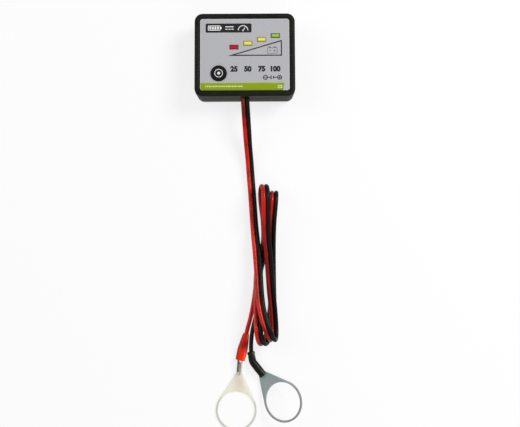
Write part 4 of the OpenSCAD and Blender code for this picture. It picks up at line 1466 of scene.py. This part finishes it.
class TESTER_OT_board(Step):
    """Finishes the circuit board and everything that is soldered or clipped to it"""
    bl_idname = "tester.board"
    bl_label = "Board and parts"

    def execute(self, context):
        lead = context.scene.tester_lead
        dress_node("circuit_board", board_laminate())
        for node, half_x, half_y, floor, tint in PACKAGES:
            low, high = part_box(node)
            leads = outside_box((low + high) / 2, half_x * MM, half_y * MM, floor)
            dress_node(node, package(f"{node}_package", leads, tint))
        dress_node("bias_resistors", package("resistor_package", resistor_ends, BLACK_RESIN))
        dress_node("switch_plunger", package("plunger_plastic", no_leads, shade(40, 40, 42)))
        snap_dome(bare_metal("spring_steel", shade(208, 208, 204), 0.2, 0.3))
        dress_node("solder_joints", bare_metal("solder", shade(196, 198, 200), 0.22, 0.7))
        dress_node("switch_frame", bare_metal("switch_plate", shade(200, 200, 196), 0.3, 0.3,
                                              DRAWN_ACROSS))
        for node, tint, deep in (("inner_wire_red", lead.red, lead.red_deep),
                                 ("inner_wire_black", lead.black, darker(lead.black, 0.6))):
            dress_node(node, inner_insulation(f"{node}_insulation", tint, deep))
        return {"FINISHED"}


class TESTER_OT_fasteners(Step):
    """Finishes the screws of the case and the board, and the tie that holds the lead"""
    bl_idname = "tester.fasteners"
    bl_label = "Screws and tie"

    def execute(self, context):
        dress_node("case_screws", bare_metal("black_steel", shade(62, 62, 64), 0.32, 0.3))
        dress_node("board_screws", bare_metal("zinc_steel", shade(196, 200, 206), 0.24, 0.3))
        dress_node("cable_tie", nylon())
        return {"FINISHED"}


class TESTER_OT_stage(Step):
    """Adds the pale floor, the soft lights and the sky"""
    bl_idname = "tester.stage"
    bl_label = "Stage"

    def execute(self, context):
        scene = context.scene
        stage = scene.tester_stage
        scene.view_settings.view_transform = "Standard"
        rest_hands()
        bpy.ops.mesh.primitive_plane_add(size=FLOOR_SIZE, location=(0, 0, FLOOR_Z))
        floor = bpy.context.object
        floor.name = "floor"
        floor.data.materials.append(floor_paint(stage))
        for side, (place, size) in LIGHTS.items():
            rest_hands()
            aim = LIGHT_AIM - Vector(place)
            bpy.ops.object.light_add(type="AREA", location=place,
                                     rotation=aim.to_track_quat("-Z", "Y").to_euler())
            light = bpy.context.object
            light.name = f"{side}_light"
            light.data.size = size
            light.data.energy = getattr(stage, f"{side}_power")
        scene.world = sky_dome(stage)
        return {"FINISHED"}


STEPS = [
    TESTER_OT_camera, TESTER_OT_leads, TESTER_OT_case, TESTER_OT_label, TESTER_OT_lamps,
    TESTER_OT_button, TESTER_OT_boots, TESTER_OT_terminals, TESTER_OT_lead_ends,
    TESTER_OT_board, TESTER_OT_fasteners, TESTER_OT_stage,
]


class TESTER_PT_steps(bpy.types.Panel):
    """The settings and the steps, in their order"""
    bl_label = "Battery tester"
    bl_idname = "TESTER_PT_steps"
    bl_space_type = "VIEW_3D"
    bl_region_type = "UI"
    bl_category = "Battery tester"

    def draw(self, context):
        for name, group in SETTINGS.items():
            box = self.layout.box()
            box.label(text=name.replace("tester_", "").capitalize())
            for key in group.__annotations__:
                box.prop(getattr(context.scene, name), key)
        for step in STEPS:
            self.layout.operator(step.bl_idname)


CLASSES = [*SETTINGS.values(), *STEPS, TESTER_PT_steps]


def register():
    for item in CLASSES:
        bpy.utils.register_class(item)
    for name, group in SETTINGS.items():
        setattr(bpy.types.Scene, name, PointerProperty(type=group))


def unregister():
    for name in SETTINGS:
        delattr(bpy.types.Scene, name)
    for item in reversed(CLASSES):
        bpy.utils.unregister_class(item)


def main():
    register()
    for step in STEPS:
        getattr(bpy.ops.tester, step.bl_idname.split(".")[1])()


if __name__ == "__main__":
    main()
